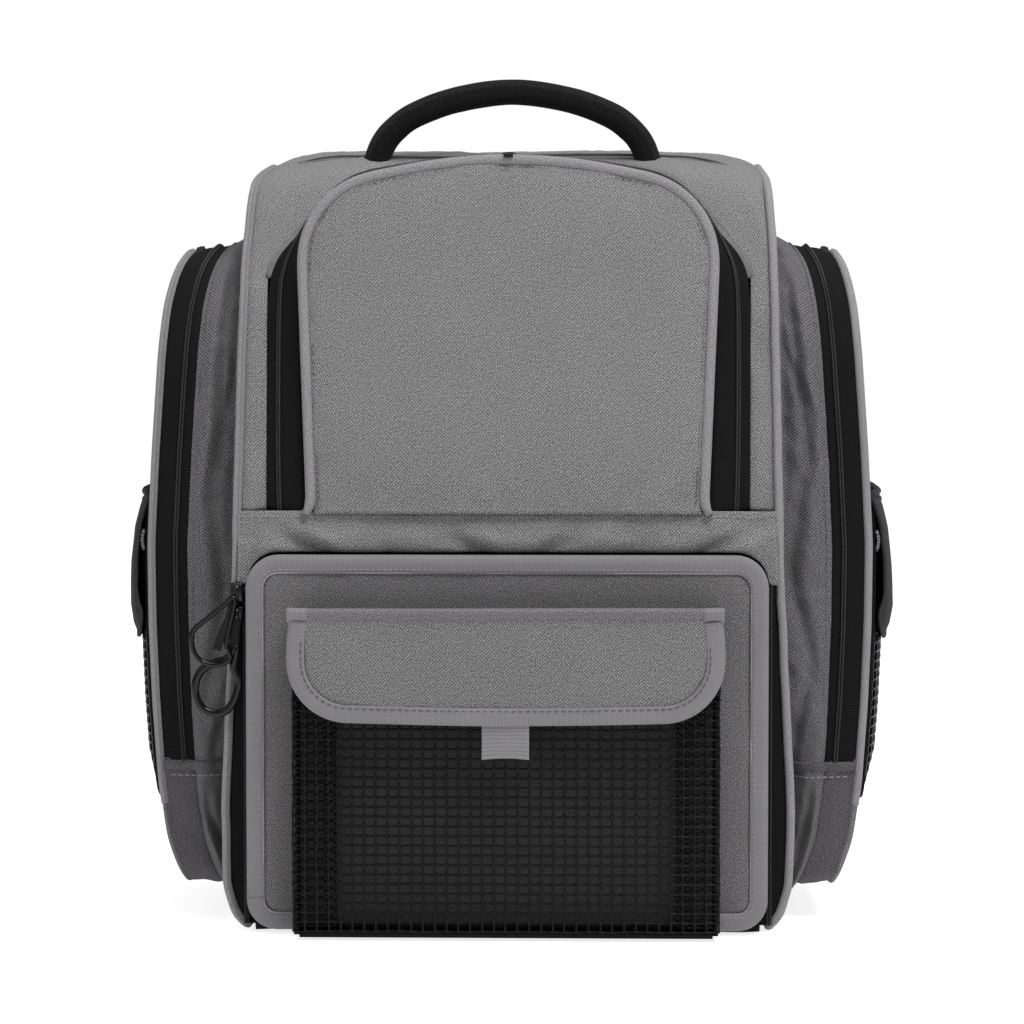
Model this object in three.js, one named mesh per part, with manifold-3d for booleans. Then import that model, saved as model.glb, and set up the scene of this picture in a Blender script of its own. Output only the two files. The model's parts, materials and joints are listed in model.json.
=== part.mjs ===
// Tackle backpack: a boxy fabric pack with two compartments, one above the other.
//
// Millimetres, +Z up, front towards -Y. The origin is on the ground under the middle of the
// pack. The lower compartment holds four flat tackle trays behind a door that zips up both
// sides and across the top. The upper one has an arched lid that leans back. Each side carries
// an arched pocket with a drop-down door, a mesh pocket and a flap.

import * as THREE from 'three';
import { mergeVertices } from 'three/addons/utils/BufferGeometryUtils.js';
import Module from 'manifold-3d';

const wasm = await Module();
wasm.setup();

// ---- Driving dimensions ----

const GAP = 0.3; // clearance between neighbouring pieces
const SHEET = 3; // lined and foamed fabric wall

const BODY = {
  halfWidth: 160, // at the foot
  halfWidthHigh: 153.7, // where the upper part has narrowed
  halfWidthTop: 132, // after the chamfered shoulder
  straightHeight: 200,
  highHeight: 380,
  shoulderHeight: 427,
  height: 444,
  frontY: -98,
  backY: 95,
};
const PIPE = 4.4; // piping along the body's edges
const SKIN = PIPE + GAP; // the walls lie this far inside the piping's outer line

const BASE = { thickness: 5 }; // foam-lined cloth that stands on the ground
const STRIP = { bottom: 213.3, top: 234.6 }; // band of fabric between the two openings

const LID = { hingeY: -101, hingeZ: 234, lean: THREE.MathUtils.degToRad(7.1), pipe: 5 };
const ZIP_REACH = 16; // from the lid's edge to the teeth, at most
const TAPE = 2; // zip tape and soft gusset thickness

const BINDING = 10; // width of the folded binding on the door and the flap
const DOOR = { halfWidth: 145, bottom: 3, top: 212, front: -113, back: -98.5, corner: 17, foot: 12 };
const DOOR_ZIP = { inner: 137, split: 146.2, outer: 155.2, top: 216, front: -98.2, back: -95.7 };

const MESH_POCKET = { halfWidth: 118, bottom: 5, top: 183, front: -135, back: -113.3 };
const FLAP = { halfWidth: 120, bottom: 120, top: 185, front: -139.3, back: -135.8, corner: 30 };
const TAB = { halfWidth: 13, bottom: 101.7 }; // webbing tab under the flap

const SIDE = {
  front: -65, back: 75, bottom: 18.5, top: 388, // where the gusset is sewn to the pack
  doorFront: -60, doorBack: 70, doorBottom: 66.5, doorTop: 380, // the outer panel
  root: BODY.halfWidth + GAP, crown: 178, split: 197.3, panel: 205.3, face: 210,
};
const SIDE_TAPER = { from: 315, to: SIDE.top, share: 0.45 }; // the arch leans in to the body
const SIDE_FLAP = { front: -56, back: 66, bottom: 162, top: 242 };

const TRAY = { width: 274, depth: 178, height: 46, wall: 2.2, count: 4, firstZ: 8.3 };
const HANDLE = { halfSpan: 82, y: 10, pivotZ: 446, rise: 27.5, radius: 7.5 };
const STRAP = { top: 404, topX: 55, bottomX: 120, bottomZ: 34, width: 60, thickness: 10 };
const WEBBING = { width: 25, thickness: 2.4 };
const BACK_Y = BODY.backY - SKIN + GAP; // the harness is sewn on from here

// ---- Materials ----

function cloth(color, roughness = 0.9) {
  return new THREE.MeshStandardMaterial({ color, roughness, metalness: 0 });
}

const greyCloth = cloth(0x77757a);
const paleCloth = cloth(0x9a989c);
const darkCloth = cloth(0x3a393d);
const zipTape = cloth(0x18181a, 0.8);
const blackMesh = cloth(0x1c1c1e, 0.5);
const blackPlastic = cloth(0x141416, 0.4);
const clearPlastic = cloth(0xc9d2d6, 0.2);
const boardPlastic = cloth(0x2b2b2e, 0.6);

// ---- Solids ----

// Shared vertices merged and faces pointing out, whichever way the points were listed.
function closed(geometry) {
  const bare = geometry.clone();
  bare.deleteAttribute('normal');
  bare.deleteAttribute('uv');
  const merged = mergeVertices(bare, 1e-3);
  const corner = [new THREE.Vector3(), new THREE.Vector3(), new THREE.Vector3()];
  const index = merged.index.array;
  let volume = 0;
  for (let i = 0; i < index.length; i += 3) {
    corner.forEach((c, k) => c.fromBufferAttribute(merged.attributes.position, index[i + k]));
    volume += corner[0].dot(corner[1].cross(corner[2]));
  }
  if (volume < 0) {
    for (let i = 0; i < index.length; i += 3) {
      [index[i], index[i + 1]] = [index[i + 1], index[i]];
    }
  }
  merged.computeVertexNormals();
  return merged;
}

function toSolid(geometry) {
  const { attributes, index } = closed(geometry);
  return new wasm.Manifold(new wasm.Mesh({
    numProp: 3,
    vertProperties: new Float32Array(attributes.position.array),
    triVerts: new Uint32Array(index.array),
  }));
}

function fromSolid(solid) {
  const { vertProperties, triVerts } = solid.getMesh();
  const geometry = new THREE.BufferGeometry();
  geometry.setAttribute('position', new THREE.BufferAttribute(vertProperties, 3));
  geometry.setIndex(new THREE.BufferAttribute(triVerts, 1));
  return geometry;
}

const combine = (operation, first, rest) =>
  fromSolid(rest.reduce((solid, next) => solid[operation](toSolid(next)), toSolid(first)));
const cut = (first, ...rest) => combine('subtract', first, rest);
const join = (first, ...rest) => combine('add', first, rest);
const common = (first, ...rest) => combine('intersect', first, rest);

function box(x0, x1, y0, y1, z0, z1) {
  const geometry = new THREE.BoxGeometry(x1 - x0, y1 - y0, z1 - z0);
  return geometry.translate((x0 + x1) / 2, (y0 + y1) / 2, (z0 + z1) / 2);
}

// A box with walls of one thickness, open at the top.
function openBox(x0, x1, y0, y1, z0, z1, wall) {
  const hollow = box(x0 + wall, x1 - wall, y0 + wall, y1 - wall, z0 + wall, z1 + 1);
  return cut(box(x0, x1, y0, y1, z0, z1), hollow);
}

// A flat outline, with an optional hole, pushed along one axis from low to high.
// The outline is (y, z) for X, (x, z) for Y and (x, y) for Z.
function prism(axis, outline, low, high, hole = null) {
  const ordered = (points) => (THREE.ShapeUtils.isClockWise(points) ? [...points].reverse() : points);
  const shape = new THREE.Shape(ordered(outline));
  if (hole) {
    shape.holes.push(new THREE.Path(ordered(hole)));
  }
  const geometry = new THREE.ExtrudeGeometry(shape, { depth: high - low, bevelEnabled: false });
  const [x, y, z] = [new THREE.Vector3(1, 0, 0), new THREE.Vector3(0, 1, 0), new THREE.Vector3(0, 0, 1)];
  const turn = new THREE.Matrix4();
  if (axis === 'X') {
    turn.makeBasis(y, z, x).setPosition(low, 0, 0);
  } else if (axis === 'Y') {
    turn.makeBasis(x, z, y.clone().negate()).setPosition(0, high, 0);
  } else {
    turn.setPosition(0, 0, low);
  }
  return geometry.applyMatrix4(turn);
}

// A strip whose cross-section's corners each follow their own line of points.
function loft(lines, isLoop) {
  const count = lines[0].length;
  const sides = lines.length;
  const positions = lines.flat().flatMap((p) => [p.x, p.y, p.z]);
  const at = (side, step) => (side % sides) * count + (step % count);
  const index = [];
  for (let step = 0; step < (isLoop ? count : count - 1); step += 1) {
    for (let side = 0; side < sides; side += 1) {
      const [a, b] = [at(side, step), at(side + 1, step)];
      const [c, d] = [at(side + 1, step + 1), at(side, step + 1)];
      index.push(a, b, c, a, c, d);
    }
  }
  if (!isLoop) {
    for (let side = 1; side < sides - 1; side += 1) {
      index.push(at(0, 0), at(side + 1, 0), at(side, 0));
      index.push(at(0, count - 1), at(side, count - 1), at(side + 1, count - 1));
    }
  }
  const geometry = new THREE.BufferGeometry();
  geometry.setAttribute('position', new THREE.Float32BufferAttribute(positions, 3));
  geometry.setIndex(index);
  return geometry;
}

function tube(points, radius, steps, sides) {
  const section = new THREE.Shape();
  section.absarc(0, 0, radius, 0, Math.PI * 2, false);
  const ring = new THREE.Shape(section.getSpacedPoints(sides).slice(0, sides));
  const path = new THREE.CatmullRomCurve3(points.map((p) => new THREE.Vector3(...p)));
  return new THREE.ExtrudeGeometry(ring, { steps, bevelEnabled: false, extrudePath: path });
}

const mirrored = (geometry) => geometry.clone().scale(-1, 1, 1);

// ---- Outlines ----

// Straight edges joined by arcs: each corner is [a, b, length of edge the arc takes].
function rounded(corners, isLoop = true, arcSteps = 4) {
  const points = [];
  const last = corners.length - 1;
  corners.forEach(([a, b, take = 0], i) => {
    const corner = new THREE.Vector2(a, b);
    if (take === 0 || (!isLoop && (i === 0 || i === last))) {
      points.push(corner);
      return;
    }
    const towards = (k) => new THREE.Vector2(corners[k][0], corners[k][1]).sub(corner).normalize();
    const [before, after] = [towards(i === 0 ? last : i - 1), towards(i === last ? 0 : i + 1)];
    const half = Math.acos(THREE.MathUtils.clamp(before.dot(after), -1, 1)) / 2;
    const centre = before.clone().add(after).normalize().multiplyScalar(take / Math.cos(half)).add(corner);
    const start = before.multiplyScalar(take).add(corner).sub(centre);
    const end = after.multiplyScalar(take).add(corner).sub(centre);
    const sweep = Math.atan2(start.cross(end), start.dot(end));
    for (let k = 0; k <= arcSteps; k += 1) {
      const angle = (sweep * k) / arcSteps;
      points.push(start.clone().rotateAround(new THREE.Vector2(), angle).add(centre));
    }
  });
  const isNew = (point, i) => (i === 0 && !isLoop) || point.distanceTo(points.at(i - 1)) > 1e-4;
  return points.filter(isNew); // arcs that meet share a point
}

// The same closed outline, moved in by a distance (out when it is negative).
function inset(points, distance) {
  const side = THREE.ShapeUtils.isClockWise(points) ? -1 : 1;
  const count = points.length;
  return points.map((point, i) => {
    const before = point.clone().sub(points[(i + count - 1) % count]).normalize();
    const after = points[(i + 1) % count].clone().sub(point).normalize();
    const normal = new THREE.Vector2(-before.y - after.y, before.x + after.x).normalize();
    const stretch = normal.x * -after.y + normal.y * after.x;
    return point.clone().add(normal.multiplyScalar((side * distance) / stretch));
  });
}

const frame = (axis, outline, width, low, high) => prism(axis, outline, low, high, inset(outline, width));

// The pack seen from the side, as (y, z): upright front, leaning upper front, sloping top.
const profile = rounded([
  [BODY.frontY, 0, 8],
  [BODY.frontY, 240, 40],
  [-76, 362, 24],
  [-30, 428, 18],
  [20, 438, 20],
  [BODY.backY, BODY.height, 22],
  [BODY.backY, 0, 8],
], true, 3);

// The pack seen from the front, as (x, z): tucked in at the foot, narrowing upwards and
// rounded off at the shoulders. Each side is drawn in by a distance.
function widthOutline(drawnIn) {
  const right = [
    [BODY.halfWidth - 14 - drawnIn, -1],
    [BODY.halfWidth - 4 - drawnIn, 9],
    [BODY.halfWidth - drawnIn, 26],
    [BODY.halfWidth - drawnIn, BODY.straightHeight],
    [BODY.halfWidthHigh - drawnIn, BODY.highHeight],
    [BODY.halfWidthHigh - 3 - drawnIn, BODY.shoulderHeight],
    [BODY.halfWidthTop - drawnIn, BODY.height + 1],
  ];
  const left = right.map(([x, z]) => [-x, z]).reverse();
  return [...right, ...left].map(([x, z]) => new THREE.Vector2(x, z));
}

const REACH = 600; // longer than anything on the pack

const between = (drawnIn) => prism('Y', widthOutline(drawnIn), -REACH, REACH);
const profileBlock = (depth) => prism('X', inset(profile, depth), -REACH, REACH);

// The front or top wall's y at a height, on the walls' outer face.
function frontAt(z) {
  const wall = inset(profile, SKIN).filter((p) => p.x < 60 && p.y > 100).sort((p, q) => p.y - q.y);
  const next = wall.findIndex((p) => p.y > z);
  const [low, high] = [wall[next - 1], wall[next]];
  return THREE.MathUtils.mapLinear(z, low.y, high.y, low.x, high.x);
}

// ---- Body: one wall wrapped over base, back and top, between two side panels ----

function wrappedWall(region) {
  const shell = cut(common(profileBlock(SKIN), between(SKIN - GAP - 0.1)), profileBlock(SKIN + SHEET));
  return common(shell, region);
}

function sidePanel() {
  const slab = cut(between(0.7), between(0.7 + SHEET));
  return common(profileBlock(SKIN), slab, box(0, REACH, -REACH, REACH, -1, REACH));
}

function bodyPiping() {
  const ring = cut(profileBlock(0), profileBlock(PIPE));
  const slab = cut(between(0), between(PIPE));
  return common(ring, slab, box(0, REACH, -REACH, REACH, -2, REACH));
}

const lidOutline = rounded([[-112, 0], [-120, 184, 44], [0, 208, 60], [120, 184, 44], [112, 0]], false, 6);
const openingOutline = rounded(
  [[-135, 236], [-130, 352, 40], [-106, 420, 28], [0, 440, 60], [106, 420, 28], [130, 352, 40], [135, 236]],
  false, 5);

const BACK_TOP = 418; // the back panel is sewn to the top wall at this height

// The upper compartment's front, top and strip over the door, with the lid's opening cut out.
function topGusset() {
  const backStart = 60;
  const aboveDoor = box(-REACH, REACH, -REACH, REACH, STRIP.bottom, REACH);
  const behind = box(-REACH, REACH, backStart, REACH, -1, BACK_TOP + GAP);
  const region = cut(aboveDoor, behind);
  const clearOfCollar = (p) => new THREE.Vector2(p.x * 1.004, p.y + 0.4);
  const hole = openingOutline.map(clearOfCollar);
  hole[0].y = STRIP.top;
  hole[hole.length - 1].y = STRIP.top;
  return cut(wrappedWall(region), prism('Y', hole, -REACH, backStart));
}

function backPanel() {
  const wallOnly = BODY.backY - SKIN - SHEET - GAP;
  return wrappedWall(box(-REACH, REACH, wallOnly, REACH, BASE.thickness + GAP, BACK_TOP));
}

function basePanel() {
  const [front, back] = [BODY.frontY + SKIN, BODY.backY - SKIN];
  const corners = [[front, 0, 4], [back, 0, 4], [back, BASE.thickness], [front, BASE.thickness]];
  const outline = rounded(corners, true, 3);
  return common(prism('X', outline, -BODY.halfWidth, BODY.halfWidth), between(SKIN));
}

function backBoard() {
  const back = BODY.backY - SKIN - SHEET - GAP;
  const outline = rounded([[-140, 10, 12], [140, 10, 12], [136, 410, 24], [-136, 410, 24]]);
  return prism('Y', outline, back - 2.2, back);
}

const baseBoard = () => box(-144, 144, -88, 84, BASE.thickness + GAP, TRAY.firstZ - GAP);
const dividerShelf = () => box(-151.5, 151.5, -89.5, 84, 214, 219);

// ---- Upper lid, hinged along its bottom seam ----

// A point on the lid: across, up from the hinge, and in behind the lid's middle plane.
function onLid(u, v, depth) {
  const [sin, cos] = [Math.sin(LID.lean), Math.cos(LID.lean)];
  return new THREE.Vector3(u, LID.hingeY + v * sin + depth * cos, LID.hingeZ + v * cos - depth * sin);
}

const spaced = (outline, count) => new THREE.Path(outline).getSpacedPoints(count);

// The soft band between the lid's edge and the opening, as a strip from one share of the way
// across to another. Its thickness lies towards the inside of the arch.
function lidBand(startAt, endAt) {
  const steps = 30;
  const rim = spaced(lidOutline, steps).map((p) => onLid(p.x, Math.max(p.y, 2.5), 2.8));
  const seam = spaced(openingOutline, steps).map((p) => new THREE.Vector3(p.x, frontAt(p.y) - 0.3, p.y));
  const middle = new THREE.Vector3(0, -60, 330);
  const lines = [[], [], [], []];
  rim.forEach((from, i) => {
    const across = seam[i].clone().sub(from);
    const length = across.length();
    across.normalize();
    const along = rim[Math.min(i + 1, steps)].clone().sub(rim[Math.max(i - 1, 0)]);
    const inward = across.clone().cross(along).normalize().multiplyScalar(TAPE);
    if (inward.dot(middle.clone().sub(from)) < 0) {
      inward.negate();
    }
    const start = across.clone().multiplyScalar(startAt(length)).add(from);
    const end = across.clone().multiplyScalar(endAt(length)).add(from);
    lines[0].push(start);
    lines[1].push(end);
    lines[2].push(end.clone().add(inward));
    lines[3].push(start.clone().add(inward));
  });
  return loft(lines, false);
}

const teethAt = (length) => Math.min(ZIP_REACH, 0.72 * length);
const lidGusset = () => lidBand(() => 0, teethAt);
const upperCollar = () => lidBand((length) => teethAt(length) + 4 * GAP, (length) => length - 2 * GAP);

const lidClosedOutline = () => lidOutline.map((p) => new THREE.Vector2(p.x, Math.max(p.y, 1.5)));
const lidPiping = () => frame('Y', lidClosedOutline(), LID.pipe, -2.5, 2.5);
const lidPanel = () => prism('Y', inset(lidClosedOutline(), LID.pipe + GAP), -2, 4);

// ---- Lower door with its mesh pocket and flap ----

function doorOutline() {
  const { halfWidth, bottom, top, corner, foot } = DOOR;
  return rounded([
    [-halfWidth, bottom, foot],
    [halfWidth, bottom, foot],
    [halfWidth, top, corner],
    [-halfWidth, top, corner],
  ]);
}

const doorBinding = () => frame('Y', doorOutline(), BINDING, DOOR.front, DOOR.back);
const doorPanel = () => prism('Y', inset(doorOutline(), BINDING + GAP), DOOR.front + 3, DOOR.back);

// An upside-down U of zip tape, open at the foot.
function doorTape(inner, outer, topIn, topOut) {
  const { front, back } = DOOR_ZIP;
  const corner = DOOR.corner;
  const arch = (half, foot, top, radius) =>
    rounded([[-half, foot], [half, foot], [half, top, radius], [-half, top, radius]]);
  const outside = prism('Y', arch(outer, -9, topOut, corner + 3), front, back);
  const inside = prism('Y', arch(inner, -10, topIn, corner), front - 1, back + 1);
  return common(cut(outside, inside), box(-REACH, REACH, -REACH, REACH, 8, REACH), between(SKIN));
}

const doorZip = () => doorTape(DOOR_ZIP.inner, DOOR_ZIP.split, DOOR_ZIP.top - 12, DOOR_ZIP.top);
const bodyZip = () => doorTape(DOOR_ZIP.split + GAP, DOOR_ZIP.outer, DOOR_ZIP.top + GAP, DOOR_ZIP.top + 5);

function frontMesh() {
  const { halfWidth, bottom, top, front, back } = MESH_POCKET;
  return openBox(-halfWidth, halfWidth, front, back, bottom, top, TAPE);
}

function flapOutline() {
  const { halfWidth, bottom, top, corner } = FLAP;
  const side = bottom + 2;
  return rounded([
    [-halfWidth, top, 12],
    [-halfWidth, side, corner],
    [0, bottom, 60],
    [halfWidth, side, corner],
    [halfWidth, top, 12],
  ]);
}

const flapBinding = () => frame('Y', flapOutline(), BINDING, FLAP.front, FLAP.back);
const flapPanel = () => prism('Y', inset(flapOutline(), BINDING + GAP), FLAP.front + 0.8, FLAP.back - 0.2);

function flapTab() {
  const [back, top] = [FLAP.back - 0.7, FLAP.bottom - 0.5];
  return box(-TAB.halfWidth, TAB.halfWidth, FLAP.front, back, TAB.bottom, top);
}

// ---- Side pockets, built on the right and mirrored for the left ----

function sideOutline(front, back, bottom, top, foot) {
  const radius = (back - front) / 2;
  const corners = [[front, bottom, foot], [back, bottom, foot], [back, top, radius], [front, top, radius]];
  return rounded(corners, true, 6);
}

// Above the arch's springing line a side pocket gets shallower, the more so the higher.
function leaned(geometry) {
  const { position } = geometry.attributes;
  const { from, to, share } = SIDE_TAPER;
  for (let i = 0; i < position.count; i += 1) {
    const rise = THREE.MathUtils.clamp((position.getZ(i) - from) / (to - from), 0, 1);
    const stand = position.getX(i) - SIDE.root;
    position.setX(i, SIDE.root + stand * THREE.MathUtils.lerp(1, share, rise));
  }
  return geometry;
}

const sewnOutline = sideOutline(SIDE.front, SIDE.back, SIDE.bottom, SIDE.top, 14);
const rimOutline = sideOutline(SIDE.doorFront, SIDE.doorBack, SIDE.bottom, SIDE.doorTop, 14);
const sideDoorOutline = sideOutline(SIDE.doorFront, SIDE.doorBack, SIDE.doorBottom, SIDE.doorTop, 7);

// Gusset ring from the pack's side out to the zip, with a fixed bucket below the door.
function sidePocket() {
  const wall = 2.5;
  const at = (outline, x, deep) => inset(outline, deep).map((p) => new THREE.Vector3(x, p.x, p.y));
  const rim = SIDE.split - GAP;
  const ring = leaned(loft([
    at(sewnOutline, SIDE.root, 0),
    at(sewnOutline, SIDE.crown, 0),
    at(rimOutline, rim, 0),
    at(rimOutline, rim, wall),
    at(sewnOutline, SIDE.crown, wall),
    at(sewnOutline, SIDE.root, wall),
  ], true));
  const bucketTop = SIDE.doorBottom - 3.5;
  const x = [SIDE.split - 1, SIDE.face - 4];
  const block = common(prism('X', rimOutline, ...x), box(0, REACH, -REACH, REACH, 0, bucketTop));
  const hollow = prism('X', inset(rimOutline, wall), x[0] - 1, x[1] - wall);
  return join(ring, cut(block, hollow));
}

// A band that follows the side door's edge, from one distance off the pack to another.
function sideBand(width, low, high) {
  const inner = inset(sideDoorOutline, width);
  const at = (points, x) => points.map((p) => new THREE.Vector3(x, p.x, p.y));
  const corners = [at(sideDoorOutline, low), at(sideDoorOutline, high), at(inner, high), at(inner, low)];
  return leaned(loft(corners, true));
}

function sideDoorPanel() {
  return leaned(prism('X', inset(sideDoorOutline, 4.8), SIDE.panel - 2, SIDE.face - 3.2));
}

const sideDoorPiping = () => sideBand(4.5, SIDE.panel, SIDE.face);

function sideDoorZip() {
  const ring = sideBand(2.5, SIDE.split, SIDE.panel - GAP);
  const openFoot = box(0, REACH, -REACH, REACH, 0, 89);
  return cut(ring, openFoot);
}

function sideMesh() {
  const [front, back, bottom, wall] = [-52, 62, 72, 1.5];
  return openBox(SIDE.face - 2.9, SIDE.face + 5, front, back, bottom, SIDE_FLAP.top, wall);
}

// Hangs from its top seam, bulges outwards and turns in at its hem.
function sideFlap() {
  const { front, back, bottom, top } = SIDE_FLAP;
  const hung = SIDE.face + 5.5;
  const outline = [
    [hung, top],
    [hung + 2.5, top],
    [hung + 6.5, bottom + 10],
    [hung + 4, bottom],
    [hung + 1.5, bottom + 1],
    [hung + 3.5, bottom + 12],
  ];
  return prism('Y', outline.map(([x, z]) => new THREE.Vector2(x, z)), front, back);
}

function sideSlider() {
  const top = SIDE.doorTop + GAP;
  const middle = (SIDE.doorFront + SIDE.doorBack) / 2;
  const [start, end] = [SIDE.split + 0.5, SIDE.panel - 0.5];
  const body = box(start, end, middle - 6, middle + 6, top, top + 4);
  const pull = box(start + 1.5, end - 1.5, middle - 24, middle - 4, top + 1, top + 3);
  return leaned(join(body, pull));
}

// ---- Handle, sliders and pulls ----

function handleGrip() {
  const { halfSpan, y, pivotZ, rise, radius } = HANDLE;
  const shares = [[1, 0], [0.85, 0.34], [0.6, 0.62], [0.3, 0.88]];
  const left = shares.map(([across, up]) => [-halfSpan * across, y, pivotZ + rise * up]);
  const right = left.map(([x, ...rest]) => [-x, ...rest]).reverse();
  return tube([...left, [0, y, pivotZ + rise], ...right], radius, 20, 8);
}

function handlePatch() {
  const [inner, outer, front, back] = [84, 127, -14, 34];
  const slope = 9;
  const outline = [
    [inner, front + slope], [inner + slope, front], [outer - slope, front], [outer, front + slope],
    [outer, back - slope], [outer - slope, back], [inner + slope, back], [inner, back - slope],
  ].map(([x, y]) => new THREE.Vector2(x, y));
  const skin = cut(profileBlock(2.8), profileBlock(PIPE));
  return common(skin, prism('Z', outline, 350, REACH));
}

const SLIDER = { x: -151, halfWidth: 4.5, back: -98.5 };

function doorSlider(front, bottom) {
  const { x, halfWidth, back } = SLIDER;
  return box(x - halfWidth, x + halfWidth, front, back, bottom, bottom + 11);
}

function cordLoop(points, y) {
  return tube(points.map(([x, z]) => [x, y, z]), 1.5, 22, 6);
}

// Both pull loops hang from their sliders, out over the body's edge and back, as (x, z).
const upperLoop = () => cordLoop([
  [-152, 190], [-166, 181], [-179, 168], [-176, 155],
  [-165, 150], [-156, 158], [-152, 172], [-151, 186],
], -108.8);

const lowerLoop = () => cordLoop([
  [-152.6, 177], [-165, 166], [-174, 146], [-173, 128],
  [-163, 121], [-153, 128], [-151, 148], [-150.4, 175],
], -105.2);

function lidSlider() {
  const top = 436;
  return join(box(-5, 5, -66, -54, top, top + 4), box(-2, 2, -84, -64, top + 2, top + 4));
}

// ---- Harness ----

// A band of even thickness along a line of (y, z) points.
function ribbon(points, thickness, x0, x1) {
  const path = new THREE.CatmullRomCurve3(points.map(([y, z]) => new THREE.Vector3(0, y, z)));
  const steps = points.length * 3;
  const [near, far] = [[], []];
  for (let i = 0; i <= steps; i += 1) {
    const point = path.getPoint(i / steps);
    const along = path.getTangent(i / steps);
    const side = new THREE.Vector2(along.z, -along.y).multiplyScalar(thickness / 2);
    near.push(new THREE.Vector2(point.y + side.x, point.z + side.y));
    far.unshift(new THREE.Vector2(point.y - side.x, point.z - side.y));
  }
  return prism('X', [...near, ...far], x0, x1);
}

// Drawn hanging straight down from x = 0; the strap's group leans it outwards.
function shoulderStrap() {
  const drop = [[112, 0], [131, -6], [149, -34], [157, -90], [153, -160], [143, -208]];
  return ribbon(drop, STRAP.thickness, -STRAP.width / 2, STRAP.width / 2);
}

const ladderLock = () => cut(box(-19, 19, 137, 143, -238, -211), box(-13, 13, 136, 144, -228, -221));

function strapWebbing() {
  const { width, thickness } = WEBBING;
  const drop = [[139.5, -239.5], [128, -295], [111, -343], [100.5, -371]];
  return ribbon(drop, thickness, -width / 2, width / 2);
}

function backPad() {
  return prism('Y', rounded([[14, 96, 18], [104, 96, 18], [112, 384, 24], [14, 384, 18]]), BACK_Y, 110);
}

function lumbarPad() {
  const outline = rounded([[-94, 20, 16], [94, 20, 16], [94, 88, 16], [-94, 88, 16]]);
  return prism('Y', outline, BACK_Y, 112);
}

const SEWN_PATCH_Y = 96; // how far the flat patches stand off the back

function strapYoke() {
  const outline = rounded([[-92, 392, 6], [92, 392, 6], [86, 417, 8], [-86, 417, 8]]);
  return prism('Y', outline, BACK_Y, SEWN_PATCH_Y);
}

function strapAnchor() {
  const outline = rounded([[106, 20, 4], [134, 20, 4], [134, 48, 12], [106, 48, 12]]);
  return prism('Y', outline, BACK_Y, SEWN_PATCH_Y);
}

function tackleTray(level) {
  const { width, depth, height, wall, firstZ } = TRAY;
  const z = firstZ + level * (height + GAP);
  const front = -94;
  return openBox(-width / 2, width / 2, front, front + depth, z, z + height, wall);
}

// ---- Scene graph ----

function mesh(name, geometry, material) {
  const piece = new THREE.Mesh(closed(geometry), material);
  piece.name = name;
  return piece;
}

function groupOf(...children) {
  const group = new THREE.Group();
  group.add(...children);
  return group;
}

const pair = (name, geometry, material) => [
  mesh(`${name}_left`, mirrored(geometry), material),
  mesh(`${name}_right`, geometry, material),
];

function body() {
  return groupOf(
    mesh('base_panel', basePanel(), darkCloth),
    mesh('base_board', baseBoard(), boardPlastic),
    mesh('back_panel', backPanel(), darkCloth),
    mesh('back_board', backBoard(), boardPlastic),
    mesh('top_gusset', topGusset(), greyCloth),
    mesh('divider_shelf', dividerShelf(), darkCloth),
    mesh('upper_zip_collar', upperCollar(), zipTape),
    mesh('lower_zip_tape', bodyZip(), zipTape),
    ...pair('side_panel', sidePanel(), greyCloth),
    ...pair('body_piping', bodyPiping(), paleCloth),
    ...pair('side_pocket', sidePocket(), greyCloth),
    ...pair('handle_patch', handlePatch(), greyCloth),
  );
}

function upperLid() {
  const panel = groupOf(
    mesh('lid_panel', lidPanel(), greyCloth),
    mesh('lid_piping', lidPiping(), paleCloth),
  );
  panel.position.set(0, LID.hingeY, LID.hingeZ);
  panel.rotation.x = -LID.lean;
  return groupOf(
    panel,
    mesh('lid_gusset', lidGusset(), zipTape),
    mesh('lid_slider', lidSlider(), blackPlastic),
  );
}

function lowerDoor() {
  return groupOf(
    mesh('lower_door_panel', doorPanel(), greyCloth),
    mesh('lower_door_binding', doorBinding(), paleCloth),
    mesh('lower_door_zip', doorZip(), zipTape),
    mesh('front_mesh_pocket', frontMesh(), blackMesh),
    mesh('flap_panel', flapPanel(), greyCloth),
    mesh('flap_binding', flapBinding(), paleCloth),
    mesh('flap_tab', flapTab(), paleCloth),
    mesh('door_slider_upper', doorSlider(-107, 185), blackPlastic),
    mesh('door_slider_lower', doorSlider(-103.4, 172), blackPlastic),
    mesh('pull_loop_upper', upperLoop(), blackPlastic),
    mesh('pull_loop_lower', lowerLoop(), blackPlastic),
  );
}

function sideDoors() {
  return groupOf(
    ...pair('side_door_panel', sideDoorPanel(), greyCloth),
    ...pair('side_door_piping', sideDoorPiping(), paleCloth),
    ...pair('side_door_zip', sideDoorZip(), zipTape),
    ...pair('side_mesh_pocket', sideMesh(), blackMesh),
    ...pair('side_flap', sideFlap(), darkCloth),
    ...pair('side_slider', sideSlider(), blackPlastic),
  );
}

function strap(side, word) {
  const hung = groupOf(
    mesh(`shoulder_strap_${word}`, shoulderStrap(), darkCloth),
    mesh(`ladder_lock_${word}`, ladderLock(), blackPlastic),
    mesh(`strap_webbing_${word}`, strapWebbing(), zipTape),
  );
  hung.position.set(side * STRAP.topX, 0, STRAP.top);
  hung.rotation.y = -side * Math.atan2(STRAP.bottomX - STRAP.topX, STRAP.top - STRAP.bottomZ);
  return hung;
}

function harness() {
  return groupOf(
    mesh('lumbar_pad', lumbarPad(), darkCloth),
    mesh('strap_yoke', strapYoke(), darkCloth),
    ...pair('back_pad', backPad(), darkCloth),
    ...pair('strap_anchor', strapAnchor(), zipTape),
    strap(-1, 'left'),
    strap(1, 'right'),
  );
}

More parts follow.
